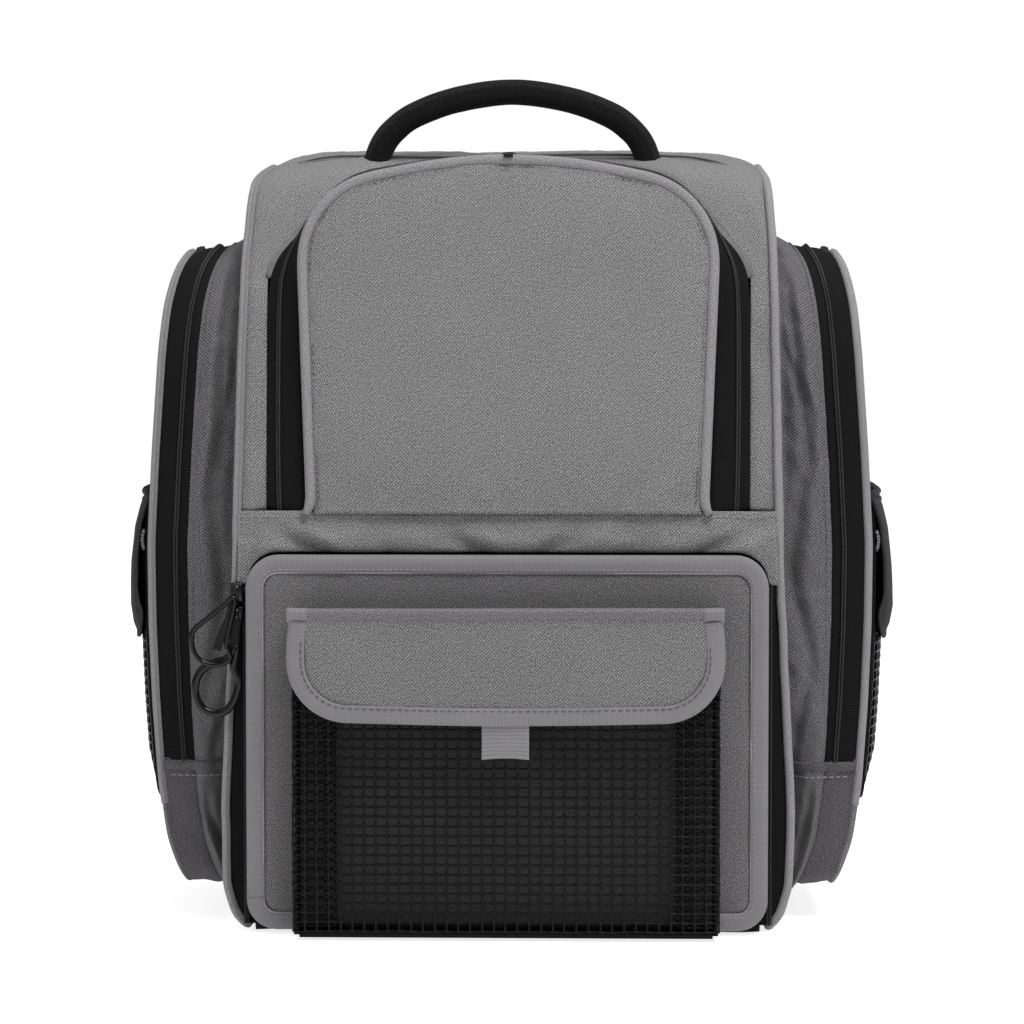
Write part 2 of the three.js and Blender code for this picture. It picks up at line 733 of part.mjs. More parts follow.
function trays() {
  const levels = Array.from({ length: TRAY.count }, (_, level) => level);
  const tray = (level) => mesh(`tackle_tray_${level + 1}`, tackleTray(level), clearPlastic);
  return groupOf(...levels.map(tray));
}

const handle = mesh('handle_grip', handleGrip(), darkCloth);

export default groupOf(body(), upperLid(), lowerDoor(), sideDoors(), handle, harness(), trays());
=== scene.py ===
"""Tackle backpack: fabric, piping, zips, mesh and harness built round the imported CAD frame.

Lengths in this script are millimetres in the frame's axes (front towards -Y, +Z up) until a
mesh is made, when they become metres.
"""

import json
import math

import bmesh
import bpy
import numpy as np
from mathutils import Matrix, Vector, noise


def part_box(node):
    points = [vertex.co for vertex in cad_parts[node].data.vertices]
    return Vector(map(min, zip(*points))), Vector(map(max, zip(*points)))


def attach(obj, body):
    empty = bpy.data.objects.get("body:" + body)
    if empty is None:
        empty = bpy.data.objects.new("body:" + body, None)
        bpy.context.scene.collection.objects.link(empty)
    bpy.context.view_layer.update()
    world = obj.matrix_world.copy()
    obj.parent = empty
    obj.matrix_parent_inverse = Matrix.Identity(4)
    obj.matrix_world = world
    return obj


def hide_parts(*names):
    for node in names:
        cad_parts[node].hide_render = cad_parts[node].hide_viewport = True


MM = 0.001
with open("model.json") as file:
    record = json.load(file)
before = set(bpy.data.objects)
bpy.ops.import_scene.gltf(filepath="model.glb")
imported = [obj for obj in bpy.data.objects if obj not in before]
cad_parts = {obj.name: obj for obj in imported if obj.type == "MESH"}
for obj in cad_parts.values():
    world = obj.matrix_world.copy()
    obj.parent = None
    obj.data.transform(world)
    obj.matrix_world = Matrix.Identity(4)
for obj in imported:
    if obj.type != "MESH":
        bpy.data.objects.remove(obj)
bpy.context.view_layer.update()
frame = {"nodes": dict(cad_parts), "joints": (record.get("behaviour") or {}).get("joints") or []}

FRONT, BACK, UP, DOWN = (0, -1, 0), (0, 1, 0), (0, 0, 1), (0, 0, -1)
SIDES = (("left", -1), ("right", 1))


def cad_box(*nodes):
    """Lowest and highest corner of CAD nodes, in mm, as two arrays."""
    boxes = [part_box(node) for node in nodes]
    low = np.min([np.array(b[0]) for b in boxes], axis=0) / MM
    high = np.max([np.array(b[1]) for b in boxes], axis=0) / MM
    return low, high


def joint_at(name):
    """A joint's place, in mm."""
    found = [j for j in frame["joints"] if j["name"] == name][0]
    return np.array(found["pos_m"]) / MM


# ---- Lines and outlines ----


def unit(vectors):
    vectors = np.asarray(vectors, float)
    return vectors / np.maximum(np.linalg.norm(vectors, axis=-1, keepdims=True), 1e-9)


def rounded(corners, closed=True, steps=10):
    """Straight edges joined by arcs: each corner is (a, b, length of edge the arc takes)."""
    points = []
    count = len(corners)
    for i, (a, b, *take) in enumerate(corners):
        corner = np.array([a, b], float)
        if not take or (not closed and i in (0, count - 1)):
            points.append(corner)
            continue
        before = unit(np.array(corners[i - 1][:2], float) - corner)
        after = unit(np.array(corners[(i + 1) % count][:2], float) - corner)
        half = math.acos(np.clip(before @ after, -1, 1)) / 2
        centre = corner + unit(before + after) * take[0] / math.cos(half)
        start, end = corner + before * take[0] - centre, corner + after * take[0] - centre
        sweep = math.atan2(start[0] * end[1] - start[1] * end[0], start @ end)
        for k in range(steps + 1):
            c, s = math.cos(sweep * k / steps), math.sin(sweep * k / steps)
            points.append(centre + [c * start[0] - s * start[1], s * start[0] + c * start[1]])
    kept = [points[0]]
    for point in points[1:]:
        if np.linalg.norm(point - kept[-1]) > 1e-3:
            kept.append(point)
    if closed and np.linalg.norm(kept[0] - kept[-1]) < 1e-3:
        kept.pop()
    return np.array(kept)


def run_length(points):
    return np.r_[0, np.cumsum(np.linalg.norm(np.diff(points, axis=0), axis=1))]


def resample(points, count, closed=False):
    points = np.asarray(points, float)
    if closed:
        points = np.vstack([points, points[:1]])
    run = run_length(points)
    at = np.linspace(0, run[-1], count + 1 if closed else count)
    spread = np.stack([np.interp(at, run, column) for column in points.T], axis=1)
    return spread[:-1] if closed else spread


def spaced(points, step, closed=False):
    ends = np.vstack([points, points[:1]]) if closed else np.asarray(points)
    return resample(points, max(4, int(run_length(ends)[-1] / step)), closed)


def softened(points, passes, closed=False):
    """Moves each point towards its neighbours, which rounds off kinks."""
    points = np.array(points, float)
    for _ in range(passes):
        near = (np.roll(points, 1, axis=0) + np.roll(points, -1, axis=0)) / 2
        moved = (points + near) / 2
        if not closed:
            moved[0], moved[-1] = points[0], points[-1]
        points = moved
    return points


def catmull(points, step=1.5, closed=False):
    """A smooth line through every point."""
    points = np.asarray(points, float)
    ring = np.vstack([points[-1:], points, points[:2]]) if closed else None
    if ring is None:
        ring = np.vstack([2 * points[0] - points[1], points, 2 * points[-1] - points[-2]])
    out = []
    for i in range(1, len(ring) - 2):
        p0, p1, p2, p3 = ring[i - 1 : i + 3]
        for t in np.linspace(0, 1, 12, endpoint=False):
            out.append(0.5 * (2 * p1 + (p2 - p0) * t + (2 * p0 - 5 * p1 + 4 * p2 - p3) * t**2
                              + (3 * p1 - p0 - 3 * p2 + p3) * t**3))
    if not closed:
        out.append(points[-1])
    return spaced(np.array(out), step, closed)


def turning(outline):
    """+1 for an anticlockwise closed outline, -1 for a clockwise one."""
    a, b = outline[:, 0], outline[:, 1]
    return 1 if np.sum(a * np.roll(b, -1) - b * np.roll(a, -1)) > 0 else -1


def moved_in(outline, distance, closed=True):
    """The same outline, moved in by a distance (out when it is negative)."""
    if closed:
        along = np.roll(outline, -1, axis=0) - np.roll(outline, 1, axis=0)
        side = turning(outline)
    else:
        along = np.gradient(outline, axis=0)
        side = turning(outline)
    along = unit(along)
    inward = np.stack([-along[:, 1], along[:, 0]], axis=1) * side
    return outline + inward * distance


def lumps(points, size, seed=0.0, octaves=2):
    """Smooth noise of about -1..1 at each point. Size is the mm per lump, per axis."""
    at = np.asarray(points, float) / size + seed * 17.31
    return np.array([noise.fractal(Vector(p), 0.8, 2.0, octaves) for p in at])


def edge_distance(points, outline, closed=True):
    """Distance in 2-D from each point to an outline."""
    a = outline
    b = np.roll(outline, -1, axis=0) if closed else outline[1:]
    a = a if closed else outline[:-1]
    best = np.full(len(points), 1e9)
    ab = b - a
    squared = np.maximum((ab**2).sum(1), 1e-9)
    for start in range(0, len(points), 2000):
        p = points[start : start + 2000, None, :]
        t = np.clip(((p - a) * ab).sum(2) / squared, 0, 1)
        gap = np.linalg.norm(p - (a + ab * t[..., None]), axis=2)
        best[start : start + 2000] = gap.min(axis=1)
    return best


# ---- Mesh pieces ----


def make(name, points, faces, look, body, uv=None, facing=None, slot=None, thickness=0.0,
         inner_look=None, outward=None):
    """A mesh object from points in mm. uv, in mm, is one pair per point; without it the mesh
    is mapped by the side each face looks to. A sheet is turned to look towards facing, or
    away from the point outward."""
    mesh = bpy.data.meshes.new(name)
    mesh.from_pydata((np.asarray(points, float) * MM).tolist(), [], [list(f) for f in faces])
    mesh.update()
    if outward is not None:
        away = [(np.array(p.center) / MM - outward) @ np.array(p.normal) * p.area for p in mesh.polygons]
        if sum(away) < 0:
            mesh.flip_normals()
    elif facing is not None:
        normals = np.array([p.normal * p.area for p in mesh.polygons])
        if normals.sum(axis=0) @ np.array(facing, float) < 0:
            mesh.flip_normals()
    else:
        shape = bmesh.new()
        shape.from_mesh(mesh)
        bmesh.ops.recalc_face_normals(shape, faces=shape.faces)
        shape.to_mesh(mesh)
        shape.free()
    mesh.shade_smooth()
    put_uv(mesh, uv)
    obj = bpy.data.objects.new(name, mesh)
    bpy.context.scene.collection.objects.link(obj)
    mesh.materials.append(look)
    if thickness:
        wall = obj.modifiers.new("wall", "SOLIDIFY")
        wall.thickness = thickness * MM
        wall.offset = -1
        if inner_look:
            mesh.materials.append(inner_look)
            wall.material_offset = 1
    if body:
        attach(obj, body)
    return obj


def put_uv(mesh, uv=None):
    layer = mesh.uv_layers.new(name="mm")
    count = len(mesh.loops)
    corner = np.empty(count, np.int32)
    mesh.loops.foreach_get("vertex_index", corner)
    if uv is not None:
        flat = np.asarray(uv, float)[corner]
    else:
        co = np.empty(len(mesh.vertices) * 3)
        mesh.vertices.foreach_get("co", co)
        co = co.reshape(-1, 3)[corner] / MM
        sides = np.empty(len(mesh.polygons) * 3)
        mesh.polygons.foreach_get("normal", sides)
        total = np.empty(len(mesh.polygons), np.int32)
        mesh.polygons.foreach_get("loop_total", total)
        axis = np.repeat(np.argmax(abs(sides.reshape(-1, 3)), axis=1), total)
        flat = np.where((axis == 0)[:, None], co[:, [1, 2]],
                        np.where((axis == 1)[:, None], co[:, [0, 2]], co[:, [0, 1]]))
    layer.data.foreach_set("uv", flat.astype(np.float32).ravel())


def grid_faces(rows, cols, wrap_rows=False, wrap_cols=False, start=0):
    r = np.arange(rows if wrap_rows else rows - 1)[:, None]
    c = np.arange(cols if wrap_cols else cols - 1)[None, :]
    a = r * cols + c
    b = r * cols + (c + 1) % cols
    d = ((r + 1) % rows) * cols + c
    e = ((r + 1) % rows) * cols + (c + 1) % cols
    return (np.stack([a, b, e, d], axis=-1).reshape(-1, 4) + start).tolist()


def grid(name, points, look, body, facing, wrap_rows=False, cut=None, **more):
    """A sheet from rows of points, mapped by its mean lengths or by its flat cut."""
    rows, cols = points.shape[:2]
    if cut is None:
        across = np.linalg.norm(np.diff(points, axis=1), axis=2).mean(axis=0)
        along = np.linalg.norm(np.diff(points, axis=0), axis=2).mean(axis=1)
        cut = np.stack(np.meshgrid(np.r_[0, np.cumsum(across)], np.r_[0, np.cumsum(along)]), axis=-1)
    uv = cut.reshape(-1, 2)
    faces = grid_faces(rows, cols, wrap_rows)
    return make(name, points.reshape(-1, 3), faces, look, body, uv=None if wrap_rows else uv,
                facing=facing, **more)


def disc_points(outline, rings, centre=None, power=0.8):
    """Points of a panel: rings from its outline in to one middle point, as (a, b)."""
    centre = outline.mean(axis=0) if centre is None else np.array(centre, float)
    shares = (1 - np.arange(rings) / rings) ** power
    points = [centre + (outline - centre) * share for share in shares]
    return np.vstack(points + [centre[None]])


def disc_faces(count, rings):
    faces = grid_faces(rings, count, False, True)
    last = rings * count
    first = (rings - 1) * count
    faces += [[first + i, first + (i + 1) % count, last] for i in range(count)]
    return faces


def disc(name, outline, place, height, look, body, facing, rings=26, centre=None, **more):
    """A crowned panel inside a closed outline. height(points, distance from the edge) is how
    far each point stands out, and place(points, heights) puts them in space."""
    flat = disc_points(outline, rings, centre)
    out = height(flat, edge_distance(flat, outline))
    return make(name, place(flat, out), disc_faces(len(outline), rings), look, body, uv=flat,
                facing=facing, **more)


def crown(distance, rise, reach):
    """Height of a padded panel: steep at its edge, flat further in than reach."""
    t = np.clip(distance / reach, 0, 1)
    return rise * np.sqrt(1 - (1 - t) ** 2)


def frames_along(path, normals, closed=False):
    if closed:
        along = unit(np.roll(path, -1, axis=0) - np.roll(path, 1, axis=0))
    else:
        along = unit(np.gradient(path, axis=0))
    out = np.broadcast_to(np.asarray(normals, float), path.shape)
    out = unit(out - (out * along).sum(1, keepdims=True) * along)
    return along, np.cross(along, out), out


def sweep_mesh(path, section, normals, closed=False):
    """Points, faces and uv of a closed section (across, out) carried along a path. The
    section may differ at each step."""
    _, across, out = frames_along(path, normals, closed)
    section = np.asarray(section, float)
    if section.ndim == 2:
        section = np.broadcast_to(section, (len(path),) + section.shape)
    points = path[:, None] + across[:, None] * section[..., :1] + out[:, None] * section[..., 1:]
    count, sides = points.shape[:2]
    faces = grid_faces(count, sides, closed, True)
    if not closed:
        faces += [list(range(sides))[::-1], [(count - 1) * sides + k for k in range(sides)]]
    run = run_length(path)
    round_run = run_length(np.vstack([section[0], section[0][:1]]))[:-1]
    uv = np.stack(np.broadcast_arrays(run[:, None], round_run[None]), axis=-1).reshape(-1, 2)
    return points.reshape(-1, 3), faces, uv


def sweep(name, path, section, normals, look, body, closed=False, **more):
    points, faces, uv = sweep_mesh(path, section, normals, closed)
    return make(name, points, faces, look, body, uv=uv, **more)


def circle(radius, sides=10, squash=1.0):
    turn = np.linspace(0, 2 * math.pi, sides, endpoint=False)
    return np.stack([np.cos(turn) * radius, np.sin(turn) * radius * squash], axis=1)


def joined(parts):
    """One mesh's points, faces and uv from several."""
    points, faces, uvs = [], [], []
    start = 0
    for p, f, uv in parts:
        points.append(p)
        faces += [[k + start for k in face] for face in f]
        uvs.append(uv)
        start += len(p)
    return np.vstack(points), faces, np.vstack(uvs)


def stitches(name, path, normals, look, body, closed=False, length=2.7, gap=1.2, width=0.34,
             rise=0.32):
    """A row of thread stitches lying on a surface along a path."""
    pitch = length + gap
    ends = np.vstack([path, path[:1]]) if closed else np.asarray(path, float)
    run = run_length(ends)
    normals = np.broadcast_to(np.asarray(normals, float), np.shape(path))
    normals = np.vstack([normals, normals[:1]]) if closed else normals
    parts = []
    shares = np.array([0, 0.18, 0.82, 1.0]) * length
    heights = (-0.25, rise, rise, -0.25)
    for i in range(int(run[-1] / pitch)):
        at = i * pitch + shares
        line = np.stack([np.interp(at, run, ends[:, k]) for k in range(3)], axis=1)
        out = np.stack([np.interp(at, run, normals[:, k]) for k in range(3)], axis=1)
        _, across, out = frames_along(line, out)
        line = line + out * np.array(heights)[:, None]
        shape = np.array([[-width, -0.25], [0, 0.12], [width, -0.25], [0, -0.4]])
        points = line[:, None] + across[:, None] * shape[None, :, :1] + out[:, None] * shape[None, :, 1:]
        faces = grid_faces(4, 4, False, True) + [[3, 2, 1, 0], [12, 13, 14, 15]]
        parts.append((points.reshape(-1, 3), faces, np.zeros((16, 2))))
    points, faces, uv = joined(parts)
    return make(name, points, faces, look, body, uv=uv)


def coil(name, path, normals, body, half=0, closed=False, width=1.7, pitch=1.6):
    """A coil zip: two rows of small bumps that interlock along the middle. Half is -1 or 1
    for the row on one side only."""
    normals = np.broadcast_to(np.asarray(normals, float), np.shape(path))
    both = spaced(np.hstack([path, normals]), pitch / 4, closed)
    path, normals = both[:, :3], both[:, 3:]
    phase = np.arange(len(path)) * 2 * math.pi / 4
    zero = np.zeros(len(path))
    rows = []
    for side in (-1, 1):
        if half in (0, side):
            tall = 0.95 - side * 0.4 * np.cos(phase)
            reach = 0.25 * np.maximum(0, -side * np.cos(phase))
            across = [zero + 0.05 - reach, zero + width * 0.35, zero + width * 0.85, zero + width,
                      zero + 0.05]
            out = [zero + 0.45, tall, tall * 0.6, zero - 0.5, zero - 0.5]
            section = np.stack([side * np.stack(across, 1), np.stack(out, 1)], axis=-1)
            rows.append(sweep_mesh(path, section, normals, closed))
    points, faces, uv = joined(rows)
    return make(name, points, faces, LOOK["coil"], body, uv=uv, slot="zip_tape")


# ---- Materials ----


class Look:
    """Builds one node material. Sockets and plain numbers mix freely as inputs."""

    def __init__(self, name):
        self.material = bpy.data.materials.new(name)
        self.material.use_nodes = True
        self.tree = self.material.node_tree
        self.tree.nodes.clear()
        self.surface = self.node("ShaderNodeBsdfPrincipled")
        output = self.node("ShaderNodeOutputMaterial")
        self.tree.links.new(self.surface.outputs[0], output.inputs[0])
        uv = self.node("ShaderNodeUVMap")
        uv.uv_map = "mm"
        split = self.node("ShaderNodeSeparateXYZ")
        self.tree.links.new(uv.outputs[0], split.inputs[0])
        self.u, self.v = split.outputs[0], split.outputs[1]
        self.place = self.node("ShaderNodeNewGeometry").outputs["Position"]

    def node(self, kind, **values):
        made = self.tree.nodes.new(kind)
        for key, value in values.items():
            setattr(made, key, value)
        return made

    def put(self, socket, value):
        if isinstance(value, bpy.types.NodeSocket):
            self.tree.links.new(value, socket)
        else:
            socket.default_value = value

    def math(self, operation, a, b=0.0, c=0.0):
        made = self.node("ShaderNodeMath", operation=operation)
        for socket, value in zip(made.inputs, (a, b, c)):
            self.put(socket, value)
        return made.outputs[0]

    def wave(self, across, pitch):
        """0..1 and back once per pitch."""
        turn = self.math("MULTIPLY", across, 2 * math.pi / pitch)
        return self.math("MULTIPLY_ADD", self.math("SINE", turn), 0.5, 0.5)

    def speckle(self, along_u, along_v, detail=2.0):
        """Noise stretched to so many mm along u and v, 0..1."""
        vector = self.node("ShaderNodeCombineXYZ")
        self.put(vector.inputs[0], self.math("DIVIDE", self.u, along_u))
        self.put(vector.inputs[1], self.math("DIVIDE", self.v, along_v))
        made = self.node("ShaderNodeTexNoise")
        self.put(made.inputs["Vector"], vector.outputs[0])
        made.inputs["Scale"].default_value = 1.0
        made.inputs["Detail"].default_value = detail
        return made.outputs[0]

    def drift(self, size, detail=3.0):
        """Noise over the whole object with lumps of a size in mm, 0..1."""
        made = self.node("ShaderNodeTexNoise")
        self.put(made.inputs["Vector"], self.place)
        made.inputs["Scale"].default_value = 1 / (size * MM)
        made.inputs["Detail"].default_value = detail
        return made.outputs[0]

    def edges(self, low=0.46, high=0.56):
        """Low on flats and 0 in hollows and creases, which paints shade into them; 1 along edges, lightened
        as wear.
        """
        pointed = self.node("ShaderNodeNewGeometry").outputs["Pointiness"]
        made = self.node("ShaderNodeMapRange")
        self.put(made.inputs["Value"], pointed)
        made.inputs["From Min"].default_value = low
        made.inputs["From Max"].default_value = high
        return made.outputs[0]

    def shade(self, colour, *factors):
        """The colour times (1 + weight * (value - 0.5)) for each (value, weight)."""
        total = None
        for value, weight in factors:
            share = self.math("MULTIPLY_ADD", value, weight, 1 - weight / 2)
            total = share if total is None else self.math("MULTIPLY", total, share)
        made = self.node("ShaderNodeVectorMath", operation="SCALE")
        made.inputs[0].default_value = colour
        self.put(made.inputs["Scale"], total)
        self.put(self.surface.inputs["Base Color"], made.outputs[0])

    def bump(self, height, depth):
        """Raises the surface by up to depth, in mm."""
        made = self.node("ShaderNodeBump")
        self.put(made.inputs["Height"], height)
        made.inputs["Strength"].default_value = 1.0
        made.inputs["Distance"].default_value = depth * MM
        self.put(self.surface.inputs["Normal"], made.outputs[0])

    def set(self, **values):
        names = {"rough": "Roughness", "sheen": "Sheen Weight", "coat": "Coat Weight",
                 "shine": "Specular IOR Level", "clear": "Transmission Weight", "ior": "IOR",
                 "sheen_rough": "Sheen Roughness", "alpha": "Alpha"}
        for key, value in values.items():
            self.put(self.surface.inputs[names[key]], value)
        return self.material


def twill_cloth(name, colour, pitch=1.85, contrast=1.4, depth=0.28, sheen=0.06, rough=0.88, shine=0.2):
    """Heathered twill: diagonal ribs of two thread tones, with slow changes of shade."""
    look = Look(name)
    slant = look.math("SUBTRACT", look.u, look.v)
    back_slant = look.math("ADD", look.u, look.math("MULTIPLY", look.v, 0.45))
    ribs = look.wave(slant, pitch)
    threads = look.wave(back_slant, pitch * 0.72)
    weave = look.math("MULTIPLY_ADD", ribs, 0.6, look.math("MULTIPLY", threads, 0.4))
    mixed = look.speckle(0.8, 0.8, detail=1.0)
    slubs = look.speckle(6.0, 1.1)
    # edges mixes in edge wear and painted shade in hollows and creases
    look.shade(colour, (weave, contrast), (mixed, contrast * 2.0), (slubs, 0.2),
               (look.drift(60), 0.14), (look.edges(), 0.10))
    look.bump(look.math("MULTIPLY_ADD", mixed, 0.5, weave), depth)
    return look.set(rough=look.math("MULTIPLY_ADD", mixed, 0.12, rough - 0.06), sheen=sheen,
                    sheen_rough=0.5, shine=shine)


def ribbed_tape(name, colour, pitch=1.5, contrast=0.3, depth=0.22, sheen=0.08, rough=0.75, shine=0.25,
                turned=False):
    """Woven tape with ribs across its length, u, and finer threads along it."""
    look = Look(name)
    ribs = look.wave(look.v if turned else look.u, pitch)
    threads = look.wave(look.u if turned else look.v, 0.8)
    weave = look.math("MULTIPLY_ADD", ribs, 0.75, look.math("MULTIPLY", threads, 0.25))
    # edges mixes in edge wear and painted shade in hollows and creases
    look.shade(colour, (weave, contrast), (look.speckle(1.3, 0.5), contrast * 0.9),
               (look.drift(35), 0.16), (look.edges(), 0.16))
    look.bump(weave, depth)
    return look.set(rough=rough, sheen=sheen, sheen_rough=0.4, shine=shine)


def plain_weave(name, colour, pitch=0.9, contrast=0.3, depth=0.14, sheen=0.08, rough=0.9):
    look = Look(name)
    weave = look.math("MULTIPLY", look.wave(look.u, pitch), look.wave(look.v, pitch))
    look.shade(colour, (weave, contrast), (look.speckle(0.8, 0.8), contrast), (look.drift(40), 0.2))
    look.bump(weave, depth)
    return look.set(rough=rough, sheen=sheen, shine=0.25)


def spacer_mesh(name, colour):
    """Air mesh: small round holes in a knitted face."""
    look = Look(name)
    cells = look.node("ShaderNodeTexVoronoi")
    vector = look.node("ShaderNodeCombineXYZ")
    look.put(vector.inputs[0], look.math("DIVIDE", look.u, 2.6))
    look.put(vector.inputs[1], look.math("DIVIDE", look.v, 2.6))
    look.put(cells.inputs["Vector"], vector.outputs[0])
    cells.inputs["Scale"].default_value = 1.0
    cells.inputs["Randomness"].default_value = 0.15
    rim = look.math("MULTIPLY", cells.outputs["Distance"], 1.6)
    look.shade(colour, (rim, 0.9), (look.speckle(0.7, 0.7), 0.3), (look.drift(50), 0.2))
    look.bump(rim, 0.5)
    return look.set(rough=0.85, sheen=0.15, shine=0.25)


def moulded(name, colour, rough=0.35, grain=0.03, coat=0.0, shine=0.5):
    look = Look(name)
    fine = look.drift(0.9)
    slow = look.drift(12)
    # edges: edge wear, with painted shade darkening hollows and creases
    look.shade(colour, (slow, 0.25), (look.edges(), 0.5))
    look.bump(fine, grain)
    return look.set(rough=look.math("MULTIPLY_ADD", slow, 0.2, rough - 0.1), coat=coat, shine=shine)


def clear_plastic(name):
    look = Look(name)
    look.shade((0.80, 0.84, 0.86), (look.drift(20), 0.06))
    look.bump(look.drift(3), 0.05)
    return look.set(rough=0.18, clear=0.75, ior=1.45, shine=0.5)


LOOK = {
    "grey": twill_cloth("grey_twill", (0.190, 0.188, 0.190)),
    # The grey twill made darker for the front flap: painted shade, the same cloth taking less light
    "flap_painted_shade": twill_cloth("flap_twill_painted_shade", (0.172, 0.168, 0.171)),
    # The grey twill made darker for the lower door: painted shade for the low front, which takes less light
    # and lies under the flap's shadow
    "door_painted_shade": twill_cloth("door_twill_painted_shade", (0.138, 0.133, 0.138)),
    # The grey twill made darker still for the side pockets: painted shade on surfaces turned away from the
    # light
    "pocket_painted_shade": twill_cloth("pocket_twill_painted_shade", (0.116, 0.112, 0.117)),
    # The grey twill at its darkest for the pocket buckets: painted shade low down by the body
    "bucket_painted_shade": twill_cloth("bucket_twill_painted_shade", (0.086, 0.082, 0.087)),
    "binding": ribbed_tape("binding_tape", (0.186, 0.181, 0.187), pitch=1.3, contrast=0.4, depth=0.1),
    "piping": twill_cloth("piping_cloth", (0.226, 0.220, 0.227), pitch=1.5, contrast=0.8, depth=0.14),
    # The grey twill made darker for the flap's hem and the side flap's tab: painted shade
    "hem": twill_cloth("hem_twill", (0.160, 0.153, 0.161)),
    "satin": ribbed_tape("satin_webbing", (0.200, 0.195, 0.201), pitch=2.2, contrast=0.3, sheen=0.2,
                         rough=0.45, turned=True),
    "dark_grey": twill_cloth("dark_twill", (0.030, 0.029, 0.031), contrast=0.9, sheen=0.02),
    "seam": twill_cloth("seam_edge", (0.16, 0.153, 0.161), pitch=1.3),
    "tape": ribbed_tape("zip_tape", (0.0065, 0.0065, 0.0072), pitch=1.5, contrast=1.2, depth=0.14,
                        sheen=0.0, rough=0.9, shine=0.12),
    "coil": moulded("zip_coil", (0.010, 0.010, 0.011), rough=0.45, shine=0.3),
    "thread": plain_weave("grey_thread", (0.30, 0.29, 0.30), pitch=0.5, depth=0.05),
    "dark_thread": plain_weave("dark_thread", (0.10, 0.098, 0.102), pitch=0.5, depth=0.05),
    "lining": plain_weave("lining", (0.018, 0.018, 0.020), pitch=0.9, contrast=0.4),
    "backing": twill_cloth("mesh_backing", (0.052, 0.052, 0.054), contrast=0.8, sheen=0.0, shine=0.1),
    "mesh": moulded("coated_mesh", (0.0025, 0.0025, 0.003), rough=0.22, shine=0.14),
    "grip": twill_cloth("grip_cloth", (0.008, 0.008, 0.009), pitch=1.6, contrast=1.7, sheen=0.05,
                        shine=0.12),
    "webbing": ribbed_tape("black_webbing", (0.009, 0.009, 0.010), pitch=1.8, contrast=0.5, depth=0.25,
                           sheen=0.02, shine=0.2),
    "air_mesh": spacer_mesh("air_mesh", (0.030, 0.030, 0.033)),
    "dark": plain_weave("dark_cloth", (0.026, 0.025, 0.028), pitch=1.3, contrast=0.45, sheen=0.03),
    "plastic": moulded("black_plastic", (0.010, 0.010, 0.011), rough=0.34, shine=0.4),
    "gloss": moulded("glossy_cord", (0.003, 0.003, 0.0035), rough=0.16, shine=0.3),
    "metal": moulded("black_metal", (0.006, 0.006, 0.007), rough=0.22, shine=0.4),
    "board": moulded("board", (0.03, 0.03, 0.033), rough=0.6, grain=0.1),
    "clear": clear_plastic("tray_plastic"),
}

# ---- Body: walls wrapped over the top between two sides ----

BODY_LOW, BODY_HIGH = cad_box("body_piping_left", "body_piping_right")
FRONT_Y, BACK_Y = BODY_LOW[1], BODY_HIGH[1]
SKIN = 4.7  # the walls lie this far inside the piping's outer line
PIPE_RADIUS = 2.5
STRIP = (213.3, 234.6)  # the band of fabric between the two openings
DOOR_LOW, DOOR_HIGH = cad_box("lower_door_binding")

PROFILE = spaced(rounded([
    (FRONT_Y, 0, 8), (FRONT_Y, 240, 40), (FRONT_Y + 22, 362, 24), (FRONT_Y + 68, 428, 18),
    (FRONT_Y + 118, 438, 20), (BACK_Y, 444, 22), (BACK_Y, 0, 8),
]), 0.8, closed=True)


def half_width(z):
    """The body's half width at a height: tucked in at the foot, rounded at the shoulders."""
    at = np.arange(-20, 470, 1.0)
    wide = np.interp(at, [0, 9, 26, 70, 110, 200, 293, 380, 425, 446],
                     [146, 155, 160, 161, 159, 154.2, 152.6, 151.2, 149, 146.5])
    blur = np.hanning(17)
    wide = np.convolve(np.pad(wide, 8, mode="edge"), blur / blur.sum(), mode="valid")
    return np.interp(z, at, wide)


def skin_line(inset=SKIN):
    """The wall from the front foot up and over to the top's rear edge, as (y, z)."""
    line = spaced(moved_in(PROFILE, inset), 1.0, closed=True)
    front = np.where(line[:, 0] < line[:, 0].min() + 0.3)[0]
    line = np.roll(line, -front[np.argmin(line[front, 1])], axis=0)
    return line[: np.argmax(line.sum(axis=1)) + 1]


WALL = skin_line()
WALL_RUN = run_length(WALL)
WALL_OUT = unit(np.stack([-np.gradient(WALL[:, 1]), np.gradient(WALL[:, 0])], axis=1))
WALL_END = WALL_RUN[-1]


def wall_run(z):
    return np.interp(z, WALL[:, 1], WALL_RUN)


def shoulder(points):
    """The top is domed: it falls away towards the sides."""
    points = np.array(points, float)
    near_top = np.clip((points[..., 2] - 400) / 36, 0, 1) ** 1.5
    points[..., 2] -= 13 * near_top * np.clip(np.abs(points[..., 0]) / 152, 0, 1.1) ** 9
    return points


def on_wall(x, run, out=0.0):
    """A point of the front or top wall, from its x and its distance up the wall."""
    y, z = (np.interp(run, WALL_RUN, WALL[:, k]) for k in (0, 1))
    ny, nz = (np.interp(run, WALL_RUN, WALL_OUT[:, k]) for k in (0, 1))
    return shoulder(np.stack(np.broadcast_arrays(x, y + ny * out, z + nz * out), axis=-1))


def run_at_y(y):
    """Distance up the wall of a place on the top, from its y."""
    top = WALL[:, 1] > 428
    return np.interp(y, WALL[top, 0], WALL_RUN[top])


OPENING_HALF = [(-135, wall_run(236)), (-136, wall_run(374), 13), (-112, wall_run(400), 18),
                (-68, run_at_y(4), 22)]
OPENING = rounded(OPENING_HALF + [(-a, b, *c) for a, b, *c in OPENING_HALF[::-1]], closed=False)


